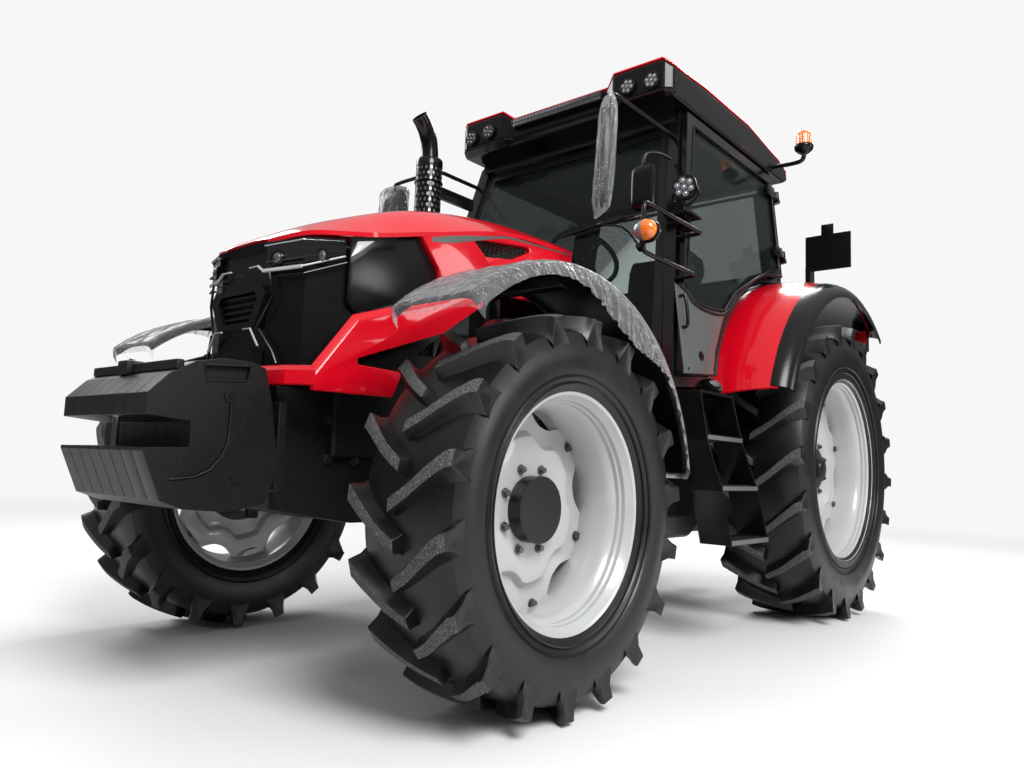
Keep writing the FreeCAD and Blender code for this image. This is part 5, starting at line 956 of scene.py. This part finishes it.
# Glass edges: a black border printed on the inner rim of the windscreen and of the rear window.
# Four thin strips round each pane, from its corners towards its middle.
BORDER_SHARE = 0.075
border = bmesh.new()
for (low_x, low_y, low_z), (high_x, high_y, high_z), back in (
    ((0.765, -0.214, 1.240), (0.604, 0.128, 2.505), -1),
    ((0.676, 1.2495, 1.950), (0.608, 1.2610, 2.500), 1),
):
    ring = [Vector((low_x, low_y, low_z)), Vector((high_x, high_y, high_z)), Vector((-high_x, high_y, high_z)),
            Vector((-low_x, low_y, low_z))]
    middle = sum(ring, Vector()) / 4
    inner = [p + (middle - p) * BORDER_SHARE for p in ring]
    for k in range(4):
        j = (k + 1) % 4
        face = [ring[k], ring[j], inner[j], inner[k]]
        add_loft(border, [face, [p + Vector((0, back * 0.0012, 0)) for p in face]])
piece("glass_borders", border, seal, "chassis", sharp=20.0)


# Wiper: black steel, parked across the windscreen on an arm from a pivot at the pane's lower edge.
# The blade is a rubber rod under a thin steel one, and everything stands off along the pane's normal.

wiper = bmesh.new()
off = Vector((0, -0.965, 0.261))
pivot = Vector((0.560, -0.054, 1.832))
blade = [Vector((0.044, -0.016, 1.973)) + off * 0.012, Vector((0.490, -0.004, 2.017)) + off * 0.012]
add_rod(wiper, blade[0], blade[1], 0.0060, sides=8)
add_rod(wiper, blade[0] + off * 0.012 + Vector((0.06, 0, 0)), blade[1] + off * 0.012 - Vector((0.06, 0, 0)), 0.0040,
        sides=8)
add_tube(wiper, [blade[0].lerp(blade[1], 0.5) + off * 0.016, Vector((0.450, -0.030, 1.950)) + off * 0.030,
                 pivot + off * 0.022], 0.0055, 10, steps=4)
add_rod(wiper, pivot, pivot + off * 0.034, 0.018, 0.014, 24)
piece("wiper", wiper, steel_black, "chassis")

# Fuel filler: a ribbed rubber neck on the tank under the left door, a stack of thin rings round a pipe, and its cap.
filler = bmesh.new()
for k in range(7):
    spot = Vector((0.800 + 0.010 * k, 0.120 - 0.004 * k, 1.085 + 0.012 * k))
    add_rod(filler, spot, spot + Vector((0.007, -0.003, 0.0085)), 0.062 - 0.002 * k, sides=36)
add_rod(filler, (0.800, 0.120, 1.085), (0.875, 0.090, 1.175), 0.052, 0.046, 36)
add_rod(filler, (0.866, 0.093, 1.165), (0.880, 0.088, 1.182), 0.040, 0.034, 8)
piece("filler_neck", filler, plastic, "chassis", sharp=30.0)


# Cab inside: a pale pressed headlining under the roof, with its vent box and round speakers.
# All of it shows through the glass and is fixed to the cab.

lining = finish("headlining", (0.13, 0.135, 0.14), 0.9, vary=0.15, grain=800.0, bump=0.3, shine=0.2)
inside = bmesh.new()
add_box(inside, (-0.625, 0.170, 2.555), (0.625, 1.215, 2.582), 0.010)
add_box(inside, (-0.250, 0.200, 2.500), (0.250, 0.420, 2.560), 0.020)
for x, y in ((-0.42, 0.50), (0.42, 0.50), (-0.42, 0.95), (0.42, 0.95)):
    add_rod(inside, (x, y, 2.548), (x, y, 2.558), 0.060, 0.070, 32)
piece("headlining", inside, lining, "chassis")

# Steering wheel: a plastic rim with three spokes and a hub on its tilted column.
wheel = bmesh.new()
tilt = Matrix.Rotation(math.radians(-35), 3, "X")
hub_spot = Vector((0, 0.262, 1.935))
add_tube(wheel, circle(hub_spot, tilt @ Vector((0.194, 0, 0)), tilt @ Vector((0, 0.194, 0)), 72, closed=True),
         0.0140, 14)
for turn in (0.0, 120.0, 240.0):
    out = tilt @ Vector((math.sin(math.radians(turn)), math.cos(math.radians(turn)), 0))
    bend = hub_spot + out * 0.11 - tilt @ Vector((0, 0, 0.008))
    add_tube(wheel, [hub_spot + out * 0.03, bend, hub_spot + out * 0.190], 0.011, 10, steps=4)
down = tilt @ Vector((0, 0, -1))
add_rod(wheel, hub_spot + down * 0.016, hub_spot - down * 0.012, 0.052, 0.044, 40)
add_rod(wheel, hub_spot + down * 0.150, hub_spot, 0.026, sides=28)
piece("steering_ring", wheel, plastic, "chassis", stands_for=["steering_wheel"])

# Consoles: moulded plastic boxes beside the seat with arm rests, levers with round knobs, and the dash cover.
console = bmesh.new()
for side in (1, -1):
    add_box(console, (side * 0.440 - 0.085, 0.440, 1.172), (side * 0.440 + 0.085, 1.000, 1.700), 0.035, 3)
    add_box(console, (side * 0.330 - 0.045, 0.560, 1.800), (side * 0.330 + 0.045, 0.860, 1.850), 0.020, 3)
    add_rod(console, (side * 0.330, 0.860, 1.690), (side * 0.330, 0.820, 1.820), 0.020, sides=16)
    for y, tall in ((0.480, 0.14), (0.560, 0.11), (0.640, 0.16)):
        add_tube(console, [(side * 0.470, y, 1.690), (side * 0.470, y - 0.010, 1.690 + tall * 0.6),
                           (side * 0.460, y - 0.030, 1.690 + tall)], 0.006, 10, steps=3)
        add_ball(console, (side * 0.460, y - 0.030, 1.690 + tall), 0.017)
add_ball(console, (0.500, 0.540, 1.870), 0.105, (0.72, 1.25, 1.0))
add_rod(console, (0.470, 0.560, 1.690), (0.495, 0.545, 1.800), 0.030, sides=20)
add_box(console, (-0.110, -0.165, 1.770), (0.110, -0.060, 1.905), 0.030, 3)
piece("cab_consoles", console, plastic, "chassis")


# Seat: two foam cushions in dark cloth with a welted seam, on the solid seat's base.
# Each is lofted from rounded sections, made even and swollen by a short cloth simulation with pressure inside.

CUSHION_GRID = 0.011
CUSHION_PRESSURE = 4.0
CUSHION_FRAMES = 20


def stuffed(name, rings, cap):
    """A cushion from its sections, blown up by a cloth simulation to no more than a cap past its shape."""
    mesh = bmesh.new()
    add_loft(mesh, rings)
    bmesh.ops.recalc_face_normals(mesh, faces=mesh.faces)
    pad = piece(name, mesh, cloth, "chassis", sharp=180.0, stands_for=["seat"])
    size = pad.modifiers.new("even", "REMESH")
    size.mode = "VOXEL"
    size.voxel_size = CUSHION_GRID
    bpy.context.view_layer.objects.active = pad
    bpy.ops.object.modifier_apply(modifier="even")
    before = [v.co.copy() for v in pad.data.vertices]
    blow = pad.modifiers.new("blow", "CLOTH")
    blow.settings.use_pressure = True
    blow.settings.uniform_pressure_force = CUSHION_PRESSURE
    blow.settings.effector_weights.gravity = 0.0
    for step in range(1, CUSHION_FRAMES + 1):
        bpy.context.scene.frame_set(step)
    posed = pad.evaluated_get(bpy.context.evaluated_depsgraph_get())
    after = [v.co.copy() for v in posed.data.vertices]
    pad.modifiers.remove(blow)
    bpy.context.scene.frame_set(1)
    for vert, was, now in zip(pad.data.vertices, before, after):
        move = now - was
        vert.co = was + move * min(1.0, cap / max(move.length, 1e-6))
    smooth = pad.modifiers.new("smooth", "SUBSURF")
    smooth.levels = 1
    smooth.render_levels = 1
    pad.data.shade_smooth()


def cushion_rings(lows, highs, pinch):
    """Sections of a cushion that are rounded at the corners and drawn in towards its seams."""
    rings = []
    for share in (0.0, 0.04, 0.14, 0.5, 0.86, 0.96, 1.0):
        inset = pinch * (1 - min(1.0, min(share, 1 - share) / 0.14)) ** 2
        low, high = lows + Vector((inset, 0, inset)), highs - Vector((inset, 0, inset))
        y = lows.y + (highs.y - lows.y) * share
        width, tall = high.x - low.x, high.z - low.z
        corner = min(width, tall) * 0.28
        ring = []
        for cx, cz, start in ((high.x - corner, low.z + corner, -90), (high.x - corner, high.z - corner, 0),
                              (low.x + corner, high.z - corner, 90), (low.x + corner, low.z + corner, 180)):
            for k in range(5):
                angle = math.radians(start + 22.5 * k)
                ring.append(Vector((cx + corner * math.cos(angle), y, cz + corner * math.sin(angle))))
        rings.append(ring)
    return rings


stuffed("seat_cushion", cushion_rings(Vector((-0.226, 0.534, 1.512)), Vector((0.226, 0.945, 1.612)), 0.020), 0.012)
lean_back = (Matrix.Translation((0, 1.010, 1.520)) @ Matrix.Rotation(math.radians(-8.5), 4, "X")
             @ Matrix.Rotation(math.radians(90), 4, "X"))
back_rings = cushion_rings(Vector((-0.205, 0.0, -0.038)), Vector((0.205, 0.615, 0.038)), 0.018)
stuffed("seat_backrest", [[lean_back @ p for p in ring] for ring in back_rings], 0.010)
seams = bmesh.new()
add_tube(seams, [(x, y, 1.612) for x, y in ((-0.19, 0.57), (0.19, 0.57), (0.19, 0.91), (-0.19, 0.91), (-0.19, 0.57))],
         0.004, 8)
piece("seat_welts", seams, seal, "chassis")


# Work lamps: black plastic heads with seven small bright reflectors behind a clear lens, two set in each corner of
# the roof and one finned head in a forked bracket on each front pillar.

def add_led_head(shell, mirrors, cover, middle, out, radius, depth):
    """A housing with a bezel; its reflectors and lens go to meshes of their own."""
    middle, out = Vector(middle), Vector(out).normalized()
    side = out.orthogonal().normalized()
    up = out.cross(side)
    add_rod(shell, middle - out * depth, middle + out * 0.002, radius * 0.80, radius, 36)
    bezel = circle(middle + out * 0.003, side * radius * 0.95, up * radius * 0.95, 36, closed=True)
    add_tube(shell, bezel, radius * 0.07, 8)
    spots = [(0.0, 0.0)] + [(0.56 * radius, math.tau * k / 6) for k in range(6)]
    for far, turn in spots:
        spot = middle + far * (math.cos(turn) * side + math.sin(turn) * up)
        add_rod(mirrors, spot + out * 0.001, spot + out * 0.0065, radius * 0.13, radius * 0.255, 20)
        add_ball(mirrors, spot + out * 0.0060, radius * 0.10)
    add_rod(cover, middle + out * 0.0075, middle + out * 0.0095, radius * 0.90, sides=36)


shells, mirrors, covers = bmesh.new(), bmesh.new(), bmesh.new()
for side in (1, -1):
    for x, z in ((0.465, 2.680), (0.602, 2.672)):
        add_led_head(shells, mirrors, covers, (side * x, -0.0620, z), (0, -1, 0.02), 0.044, 0.012)
    out = Vector((side * 0.22, -1, 0.05)).normalized()
    head = Vector((side * 0.850, -0.170, 2.040))
    add_led_head(shells, mirrors, covers, head + out * 0.014, out, 0.058, 0.030)
    for k in range(5):
        add_rod(shells, head - out * (0.012 + 0.008 * k), head - out * (0.015 + 0.008 * k), 0.052 - 0.005 * k, sides=28)
    add_tube(shells, [head + Vector((side * 0.062, 0, 0)), head + Vector((side * 0.060, 0.004, -0.052)),
                      head + Vector((0, 0.008, -0.080)), head + Vector((-side * 0.060, 0.004, -0.052)),
                      head + Vector((-side * 0.062, 0, 0))], 0.006, 10, steps=4)
    add_box(shells, (side * 0.852 - 0.010, -0.170, 1.930), (side * 0.852 + 0.010, -0.150, 1.968), 0.003)
    low, high = sorted((side * 0.740, side * 0.864))
    add_box(shells, (low, -0.172, 1.928), (high, -0.030, 1.944), 0.003)
    add_rod(shells, (side * 0.852, -0.160, 1.943), (side * 0.852, -0.160, 1.952), 0.012, sides=6)

# Light bar between the roof's corners: a plastic housing with two rows of small square reflectors under one lens.
add_box(shells, (-0.300, -0.046, 2.662), (0.300, -0.0205, 2.713), 0.003)
for row, z in enumerate((2.676, 2.699)):
    for k in range(26):
        x = -0.284 + 0.02272 * k
        add_rod(mirrors, (x, -0.0462, z), (x, -0.0545, z), 0.0055, 0.0105, 8)
        add_ball(mirrors, (x, -0.0500, z), 0.0034)
add_box(covers, (-0.296, -0.0605, 2.665), (0.296, -0.0575, 2.710), 0.001)
piece("lamp_shells", shells, plastic, "chassis", sharp=30.0, stands_for=["work_lamps"])
piece("lamp_reflectors", mirrors, chrome, "chassis", sharp=50.0)
piece("lamp_covers", covers, lens, "chassis")


# Front indicators: an egg-shaped lamp on each side, its inner half of clear and its outer half of amber plastic, in a
# black cup on a bent steel tube from the front pillar, with a drilled plate on the tube.

facet_lens = finish("clear facets", (0.36, 0.37, 0.38), 0.12, coat=1.0, metal=0.6, vary=0.3, grain=160.0, bump=0.8)
EGG_RINGS = [(0.000, 0.040, 0.034), (0.010, 0.047, 0.040), (0.024, 0.052, 0.044), (0.040, 0.048, 0.040),
             (0.052, 0.036, 0.030), (0.060, 0.020, 0.015)]
INDICATOR = (0.905, -0.582, 1.724)
for side, side_name in SIDES:
    x, y, z = INDICATOR
    for half_name, first, paint, slot in (("clear", 90, facet_lens, "lamp_lens"), ("amber", -90, amber, "amber_lens")):
        half = bmesh.new()
        arc = [math.radians(first + 180 * k / 14) for k in range(15)]
        add_loft(half, [[Vector((side * (x + wide * math.cos(a)), y - forward, z + tall * math.sin(a))) for a in arc]
                        for forward, wide, tall in EGG_RINGS])
        piece(f"indicator_{half_name}_{side_name}", half, paint, "chassis")
    frame_tube = bmesh.new()
    cup = [(0.583, 0.0530, 0.0450), (0.574, 0.0550, 0.0470), (0.566, 0.0480, 0.0400), (0.560, 0.0300, 0.0260)]
    add_loft(frame_tube, [circle((side * x, -back, z), (wide, 0, 0), (0, 0, tall), 28) for back, wide, tall in cup])
    low, high = sorted((side * 0.866, side * 0.888))
    add_box(frame_tube, (low, -0.586, 1.676), (high, -0.560, 1.788), 0.005)
    route = [(0.752, -0.058, 1.855), (0.840, -0.058, 1.855), (0.874, -0.070, 1.855), (0.878, -0.120, 1.855),
             (0.878, -0.330, 1.856), (0.878, -0.520, 1.857), (0.878, -0.566, 1.848), (0.878, -0.573, 1.800),
             (0.878, -0.573, 1.700), (0.878, -0.566, 1.656), (0.878, -0.520, 1.647), (0.878, -0.330, 1.647),
             (0.878, -0.160, 1.647), (0.872, -0.118, 1.647), (0.840, -0.107, 1.647), (0.778, -0.107, 1.647)]
    add_tube(frame_tube, [(side * x, y, z) for x, y, z in route], 0.0098, 14, steps=4)
    low, high = sorted((side * 0.800, side * 0.880))
    add_box(frame_tube, (low, -0.240, 1.863), (high, -0.080, 1.869), 0.002)
    for k in range(4):
        hole = circle((side * 0.840, -0.220 + 0.038 * k, 1.870), (0.013, 0, 0), (0, 0.013, 0), 16, closed=True)
        add_tube(frame_tube, hole, 0.0018, 6)
    piece(f"indicator_frame_{side_name}", frame_tube, steel_black, "chassis",
          stands_for=["indicator_lamps"])


# Beacon: an amber plastic dome with upright ribs, on a black cup at the end of a bent tube from the roof's left side.
# Dome and cup are round lofts, and a flange holds the tube to the roof.

def upright_rings(middle, levels, count):
    """Rings round an upright axis, at heights with their radii."""
    return [circle((*middle, z), (r, 0, 0), (0, r, 0), count) for z, r in levels]


dome = bmesh.new()
DOME = [(2.708, 0.0460), (2.716, 0.0465), (2.760, 0.0450), (2.776, 0.0430), (2.786, 0.0360), (2.790, 0.0180)]
add_loft(dome, upright_rings((0.900, 1.195), DOME, 40))
piece("beacon_dome", dome, amber, "chassis", sharp=50.0)
ribs = bmesh.new()
for foot, head in zip(*upright_rings((0.900, 1.195), [(2.712, 0.0455), (2.764, 0.0455)], 20)):
    add_rod(ribs, foot, head, 0.0018, sides=6)
piece("beacon_ribs", ribs, amber, "chassis")
cup = bmesh.new()
CUP = [(2.656, 0.0220), (2.664, 0.0340), (2.680, 0.0500), (2.690, 0.0535), (2.702, 0.0540), (2.708, 0.0500)]
add_loft(cup, upright_rings((0.900, 1.195), CUP, 40))
add_tube(cup, [(0.701, 1.195, 2.614), (0.800, 1.195, 2.612), (0.870, 1.195, 2.614), (0.896, 1.195, 2.630),
               (0.900, 1.195, 2.662)], 0.0135, 14, steps=6)
add_rod(cup, (0.7005, 1.195, 2.614), (0.712, 1.195, 2.614), 0.030, 0.026, 24)
piece("beacon_cup", cup, plastic, "chassis", stands_for=["beacon"])


# Exhaust: a black steel guard with banded ends and staggered pressed ovals over the bright pipe inside, a hollow
# curved tip, the elbow from the engine and an arm to the cab's pillar. It stands on the hood's right side.

steel = finish("bare steel", (0.30, 0.30, 0.31), 0.32, metal=1.0, vary=0.1, bump=0.05)
PIPE = Vector((-0.600, -0.390, 0))
OVALS = [(math.tau * (k + 0.5 * (row % 2)) / 16, 1.316 + row * 0.0300) for row in range(36) for k in range(16)]


def oval(angle, height, wide, tall, radius):
    """Ten points round an oval on the guard, its half width as an angle."""
    turns = [math.tau * m / 10 for m in range(10)]
    return [PIPE + Vector((radius * math.cos(angle + wide * math.cos(t)), radius * math.sin(angle + wide * math.cos(t)),
                           height + tall * math.sin(t))) for t in turns]


guard = bmesh.new()
GUARD = [(1.250, 0.0620), (1.252, 0.0690), (1.262, 0.0735), (1.292, 0.0735), (1.296, 0.0700), (2.384, 0.0700),
         (2.388, 0.0735), (2.418, 0.0735), (2.428, 0.0690), (2.430, 0.0500)]
add_loft(guard, upright_rings(PIPE.xy, GUARD, 48))
for angle, height in OVALS:
    add_loft(guard, [oval(angle, height, 0.105 * grow, 0.0110 * grow, r)
                     for grow, r in ((1.25, 0.0698), (1.12, 0.0720), (0.92, 0.0722), (0.80, 0.0703))], capped=False)
piece("exhaust_guard", guard, steel_black, "chassis", sharp=30.0, stands_for=["exhaust"])
holes = bmesh.new()
for angle, height in OVALS:
    holes.faces.new([holes.verts.new(p) for p in oval(angle, height, 0.085, 0.0089, 0.0705)])
piece("exhaust_holes", holes, steel, "chassis")
pipe = bmesh.new()
TIP = [
    # forward, height, tilt, radius: up the outside, over the edge and a little way down the bore
    (0.000, 2.425, 0.0, 0.046), (0.001, 2.470, 4.0, 0.046), (0.010, 2.530, 14.0, 0.046), (0.034, 2.585, 28.0, 0.046),
    (0.062, 2.622, 38.0, 0.046), (0.092, 2.650, 48.0, 0.046), (0.092, 2.650, 48.0, 0.042),
    (0.062, 2.622, 38.0, 0.042), (0.034, 2.585, 28.0, 0.042),
]
rings = []
for forward, height, tilt, radius in TIP:
    tilt = math.radians(tilt)
    rings.append(circle(PIPE + Vector((0, -forward, height)), (radius, 0, 0),
                        (0, radius * math.cos(tilt), radius * math.sin(tilt)), 36))
add_loft(pipe, rings)
add_box(pipe, (-0.650, -0.440, 1.120), (-0.550, -0.340, 1.252), 0.024, 4)
add_rod(pipe, (-0.600, -0.410, 1.155), (-0.230, -0.410, 1.155), 0.028, sides=28)
add_box(pipe, (-0.668, -0.325, 2.262), (-0.640, 0.020, 2.330), 0.004)
add_tube(pipe, circle(PIPE + Vector((0, 0, 2.296)), (0.0755, 0, 0), (0, 0.0755, 0), 32, closed=True), 0.0035, 8)
piece("exhaust_pipe", pipe, steel_black, "chassis", sharp=30.0)


# Mirrors: black plastic heads with rounded corners and a bright pane, on bent steel tubes from the front pillars, and
# a small one inside. The left one is folded along its tube, as in the photograph.

def boxed(value, power):
    """A sine or cosine pushed out towards 1, which squares a round outline."""
    return math.copysign(abs(value) ** power, value)


def add_mirror_head(mesh, middle, across, depth, half_across, half_up):
    """A shell with round corners that narrows to its back."""
    middle, across, depth = Vector(middle), Vector(across), Vector(depth)
    rings = []
    for shrink, shift in ((0.93, 0.03), (0.985, 0.0), (1.0, 0.06), (1.0, 0.40), (0.93, 0.70), (0.72, 0.97),
                          (0.60, 1.0)):
        ring = []
        for turn in [math.tau * k / 40 for k in range(40)]:
            ring.append(middle + depth * shift + across * (half_across * shrink * boxed(math.cos(turn), 0.42))
                        + Vector((0, 0, half_up * shrink * boxed(math.sin(turn), 0.30))))
        rings.append(ring)
    add_loft(mesh, rings)


heads, panes, tubes = bmesh.new(), bmesh.new(), bmesh.new()
FOLDED = Vector((-0.55, 0.835, 0)).normalized()
FACE = Vector((0.835, 0.55, 0)).normalized()
LEFT_MIRROR = Vector((0.640, -0.500, 2.130))
add_mirror_head(heads, LEFT_MIRROR - FACE * 0.026, FOLDED, FACE * 0.052, 0.088, 0.200)
add_mirror_head(heads, (-1.025, -0.241, 2.140), (1, 0, 0), (0, -0.058, 0), 0.094, 0.238)
add_mirror_head(heads, (0.610, -0.125, 2.105), (1, 0, 0), (0, -0.030, 0), 0.062, 0.112)
add_mirror_head(panes, LEFT_MIRROR - FACE * 0.0265, FOLDED, FACE * -0.001, 0.080, 0.190)
add_mirror_head(panes, (-1.025, -0.2405, 2.140), (1, 0, 0), (0, 0.001, 0), 0.084, 0.225)
add_tube(tubes, [(0.652, 0.078, 2.418), (0.652, -0.200, 2.420), (0.652, -0.430, 2.420), (0.652, -0.480, 2.408),
                 (0.652, -0.490, 2.360), (0.652, -0.490, 2.300)], 0.0115, 14, steps=5)
add_tube(tubes, [(-0.652, 0.078, 2.418), (-0.652, -0.150, 2.418), (-0.655, -0.240, 2.418), (-0.700, -0.268, 2.418),
                 (-0.860, -0.268, 2.418), (-0.990, -0.268, 2.416), (-1.022, -0.268, 2.400), (-1.025, -0.268, 2.330)],
         0.0115, 14, steps=5)
add_tube(tubes, [(0.668, 0.020, 2.285), (0.650, -0.060, 2.290), (0.622, -0.130, 2.270), (0.612, -0.140, 2.200)],
         0.009, 12, steps=5)
for x, y, z in ((0.652, -0.490, 2.330), (-1.025, -0.268, 2.352)):
    add_rod(tubes, (x, y, z - 0.020), (x, y, z + 0.016), 0.018, sides=24)
piece("mirror_heads", heads, plastic, "chassis", sharp=30.0, stands_for=["mirrors"])
piece("mirror_panes", panes, chrome, "chassis")
piece("mirror_tubes", tubes, steel_black, "chassis")

# Bags: each mirror is still in its clear bag, a sheet wrapped round the head, gathered at the tube and hanging below.
# Rings of the head's outline are rumpled by noise.
BAGS = [
    # name, middle, direction across, half widths, height of each ring with its share of the width and lean
    ("mirror_film_left", (0.640, -0.500), FOLDED, (0.098, 0.040), [
        (2.425, 0.14, 0.012), (2.400, 0.34, 0.010), (2.360, 0.80, 0.006), (2.300, 1.00, 0.002), (2.200, 1.06, 0.0),
        (2.050, 1.08, -0.006), (1.960, 1.06, -0.010), (1.915, 0.96, -0.014), (1.880, 0.52, -0.022),
        (1.850, 0.14, -0.032)],
     0.50, 0.57),
    ("mirror_film_right", (-1.025, -0.268), Vector((1, 0, 0)), (0.101, 0.048), [
        (2.402, 0.18, 0.0), (2.392, 0.55, 0.0), (2.372, 1.00, 0.0), (2.300, 1.03, 0.0), (2.150, 1.04, 0.0),
        (2.000, 1.03, 0.0), (1.910, 1.02, 0.0), (1.885, 0.96, 0.0)], 0.56, 0.54),
]
for bag_name, middle, across, (wide, deep), levels, flat_wide, flat_long in BAGS:
    through_it = Vector((across.y, -across.x, 0))
    rows = []
    for height, share, lean in through(levels, 9):
        row = []
        for k in range(73):
            turn = math.tau * (k % 72) / 72
            c, s = math.cos(turn), math.sin(turn)
            spot = Vector((c * 2.2, s * 2.2, height * 9.0))
            rumple = (0.07 * noise.noise(spot) + 0.05 * noise.noise(spot * 2.7)
                      + 0.04 * math.sin(turn * 11 + height * 14))
            grow = share * (1.00 + rumple)
            row.append(Vector((*middle, height + 0.006 * noise.noise(spot * 3.0)))
                       + across * boxed(c, 0.7) * wide * grow + through_it * boxed(s, 0.7) * deep * grow
                       + Vector((lean, lean * 0.8, 0)))
        rows.append(row)
    film_piece(bag_name, rows, "chassis")


# Tail lamps: a black plastic frame on each rear fender round the solid lamp, with an amber lens above the red one.
# Both lenses are ribbed upright.

tails, amber_part, red_ribs = bmesh.new(), bmesh.new(), bmesh.new()
for side in (1, -1):
    low, high = sorted((side * 0.957, side * 1.073))
    for a, b in (((low, 1.800, 1.556), (high, 1.846, 1.564)), ((low, 1.800, 1.674), (high, 1.846, 1.682)),
                 ((low, 1.800, 1.556), (low + 0.007, 1.846, 1.682)),
                 ((high - 0.007, 1.800, 1.556), (high, 1.846, 1.682)),
                 ((low, 1.800, 1.616), (high, 1.845, 1.622))):
        add_box(tails, a, b, 0.002)
    add_box(amber_part, (low + 0.008, 1.836, 1.623), (high - 0.008, 1.8435, 1.673), 0.002)
    for k in range(9):
        x = low + 0.014 + 0.011 * k
        add_rod(amber_part, (x, 1.8435, 1.626), (x, 1.8435, 1.670), 0.0022, sides=8)
        add_rod(red_ribs, (x, 1.8395, 1.567), (x, 1.8395, 1.613), 0.0022, sides=8)
piece("tail_frames", tails, plastic, "chassis", sharp=30.0)
piece("tail_amber", amber_part, amber, "chassis", sharp=30.0)
piece("tail_ribs", red_ribs, tail_red, "chassis", sharp=30.0)


# Steps and number plate: the treads' outer edges are worn pale and their tops ribbed for grip, both of pressed steel.
# The bare plate board behind the cab has a tab on top and six screws.

worn_edge = finish("worn step edge", (0.11, 0.11, 0.115), 0.50, metal=0.3, vary=0.4, grain=500.0, bump=0.3)
TREADS = [
    # outer edge across, front, back, height
    (0.985, -0.195, 0.165, 0.905), (1.020, -0.120, 0.260, 0.690), (1.050, -0.090, 0.310, 0.460),
]
wear, grip = bmesh.new(), bmesh.new()
for side in (1, -1):
    for outer, front, back, height in TREADS:
        low, high = sorted((side * (outer - 0.004), side * (outer + 0.0006)))
        add_box(wear, (low, front + 0.004, height + 0.003), (high, back - 0.004, height + 0.0215), 0.001)
        for k in range(5):
            x = side * (outer - 0.020 - 0.025 * k)
            add_rod(grip, (x, front + 0.012, height + 0.0245), (x, back - 0.012, height + 0.0245), 0.0045, sides=8)
tab = bmesh.new()
add_box(tab, (0.942, 1.360, 2.196), (1.012, 1.372, 2.262), 0.003)
for x, z in ((0.868, 2.010), (1.092, 2.010), (0.868, 2.174), (1.092, 2.174), (0.962, 2.244), (0.993, 2.244)):
    add_rod(tab, (x, 1.3605, z), (x, 1.3560, z), 0.0065, 0.0050, 12)
piece("plate_tab", tab, steel_black, "chassis")
piece("step_edges", wear, worn_edge, "chassis")
piece("step_grip", grip, steel_black, "chassis")


# Studio: a pale floor that fades out round the object, a soft sky that only reflections see, and four round lamps.
# Camera and see-through rays get the plain pale backdrop.

floor = bmesh.new()
bmesh.ops.create_grid(floor, x_segments=1, y_segments=1, size=30.0)
floor_data = bpy.data.meshes.new("floor")
floor.to_mesh(floor_data)
floor.free()
floor_paint = finish("studio floor", (0.78, 0.78, 0.78), 0.7, vary=0.015, broad=1.2, grain=300.0, bump=0.03)
tree = floor_paint.node_tree
reach = add_node(tree, "VectorMath", {0: add_node(tree, "TexCoord").outputs["Object"]}, operation="LENGTH")
fade = add_node(tree, "MapRange", {"Value": reach.outputs["Value"], "From Min": 4.0, "From Max": 12.0},
                interpolation_type="SMOOTHSTEP")
join = add_node(tree, "MixShader", {
    "Fac": fade.outputs["Result"], 1: tree.nodes["Principled BSDF"].outputs["BSDF"],
    2: add_node(tree, "BsdfTransparent").outputs["BSDF"]})
wire(tree, tree.nodes["Material Output"], {"Surface": join.outputs["Shader"]})
floor_data.materials.append(floor_paint)
floor_thing = bpy.data.objects.new("floor", floor_data)
bpy.context.scene.collection.objects.link(floor_thing)

world = bpy.data.worlds.new("studio")
bpy.context.scene.world = world
world.use_nodes = True
tree = world.node_tree
direction = add_node(tree, "TexCoord").outputs["Generated"]
up = add_node(tree, "SeparateXYZ", {"Vector": direction}).outputs["Z"]
ramp = add_node(tree, "ValToRGB", {"Fac": up})
for element, position, color in zip(ramp.color_ramp.elements, (0.05, 0.80),
                                    ((0.07, 0.07, 0.075, 1), (1.1, 1.1, 1.1, 1))):
    element.position = position
    element.color = color
sky = tree.nodes["Background"]
wire(tree, sky, {"Color": ramp.outputs["Color"], "Strength": 0.62})
backdrop = add_node(tree, "Background", {"Color": (0.93, 0.93, 0.93, 1), "Strength": 1.0})
rays = add_node(tree, "LightPath").outputs
seen = add_node(tree, "Math", {0: rays["Is Camera Ray"], 1: rays["Is Transmission Ray"]}, operation="MAXIMUM")
choose = add_node(tree, "MixShader", {
    "Fac": seen.outputs[0], 1: sky.outputs["Background"], 2: backdrop.outputs["Background"]})
wire(tree, tree.nodes["World Output"], {"Surface": choose.outputs["Shader"]})

LAMPS = [
    # name, place, aimed at, width, power
    ("key", (6.0, -3.5, 6.5), (0, 0, 1.0), 4.0, 780),
    ("fill", (-7.0, -0.5, 6.0), (0, -0.5, 1.0), 4.0, 230),
    ("back", (-1.0, 6.5, 7.0), (0, 0.0, 1.5), 4.0, 460),
    ("side", (7.5, 3.0, 2.6), (0.5, 0.5, 0.8), 3.0, 150),
]
for lamp_name, place, aim, width, power in LAMPS:
    lamp_data = bpy.data.lights.new(lamp_name, "AREA")
    lamp_data.shape = "DISK"
    lamp_data.size = width
    lamp_data.energy = power
    lamp = bpy.data.objects.new(lamp_name, lamp_data)
    bpy.context.scene.collection.objects.link(lamp)
    lamp.location = place
    lamp.rotation_mode = "QUATERNION"
    lamp.rotation_quaternion = (Vector(aim) - Vector(place)).to_track_quat("-Z", "Y")
bpy.context.scene.view_settings.view_transform = "Standard"
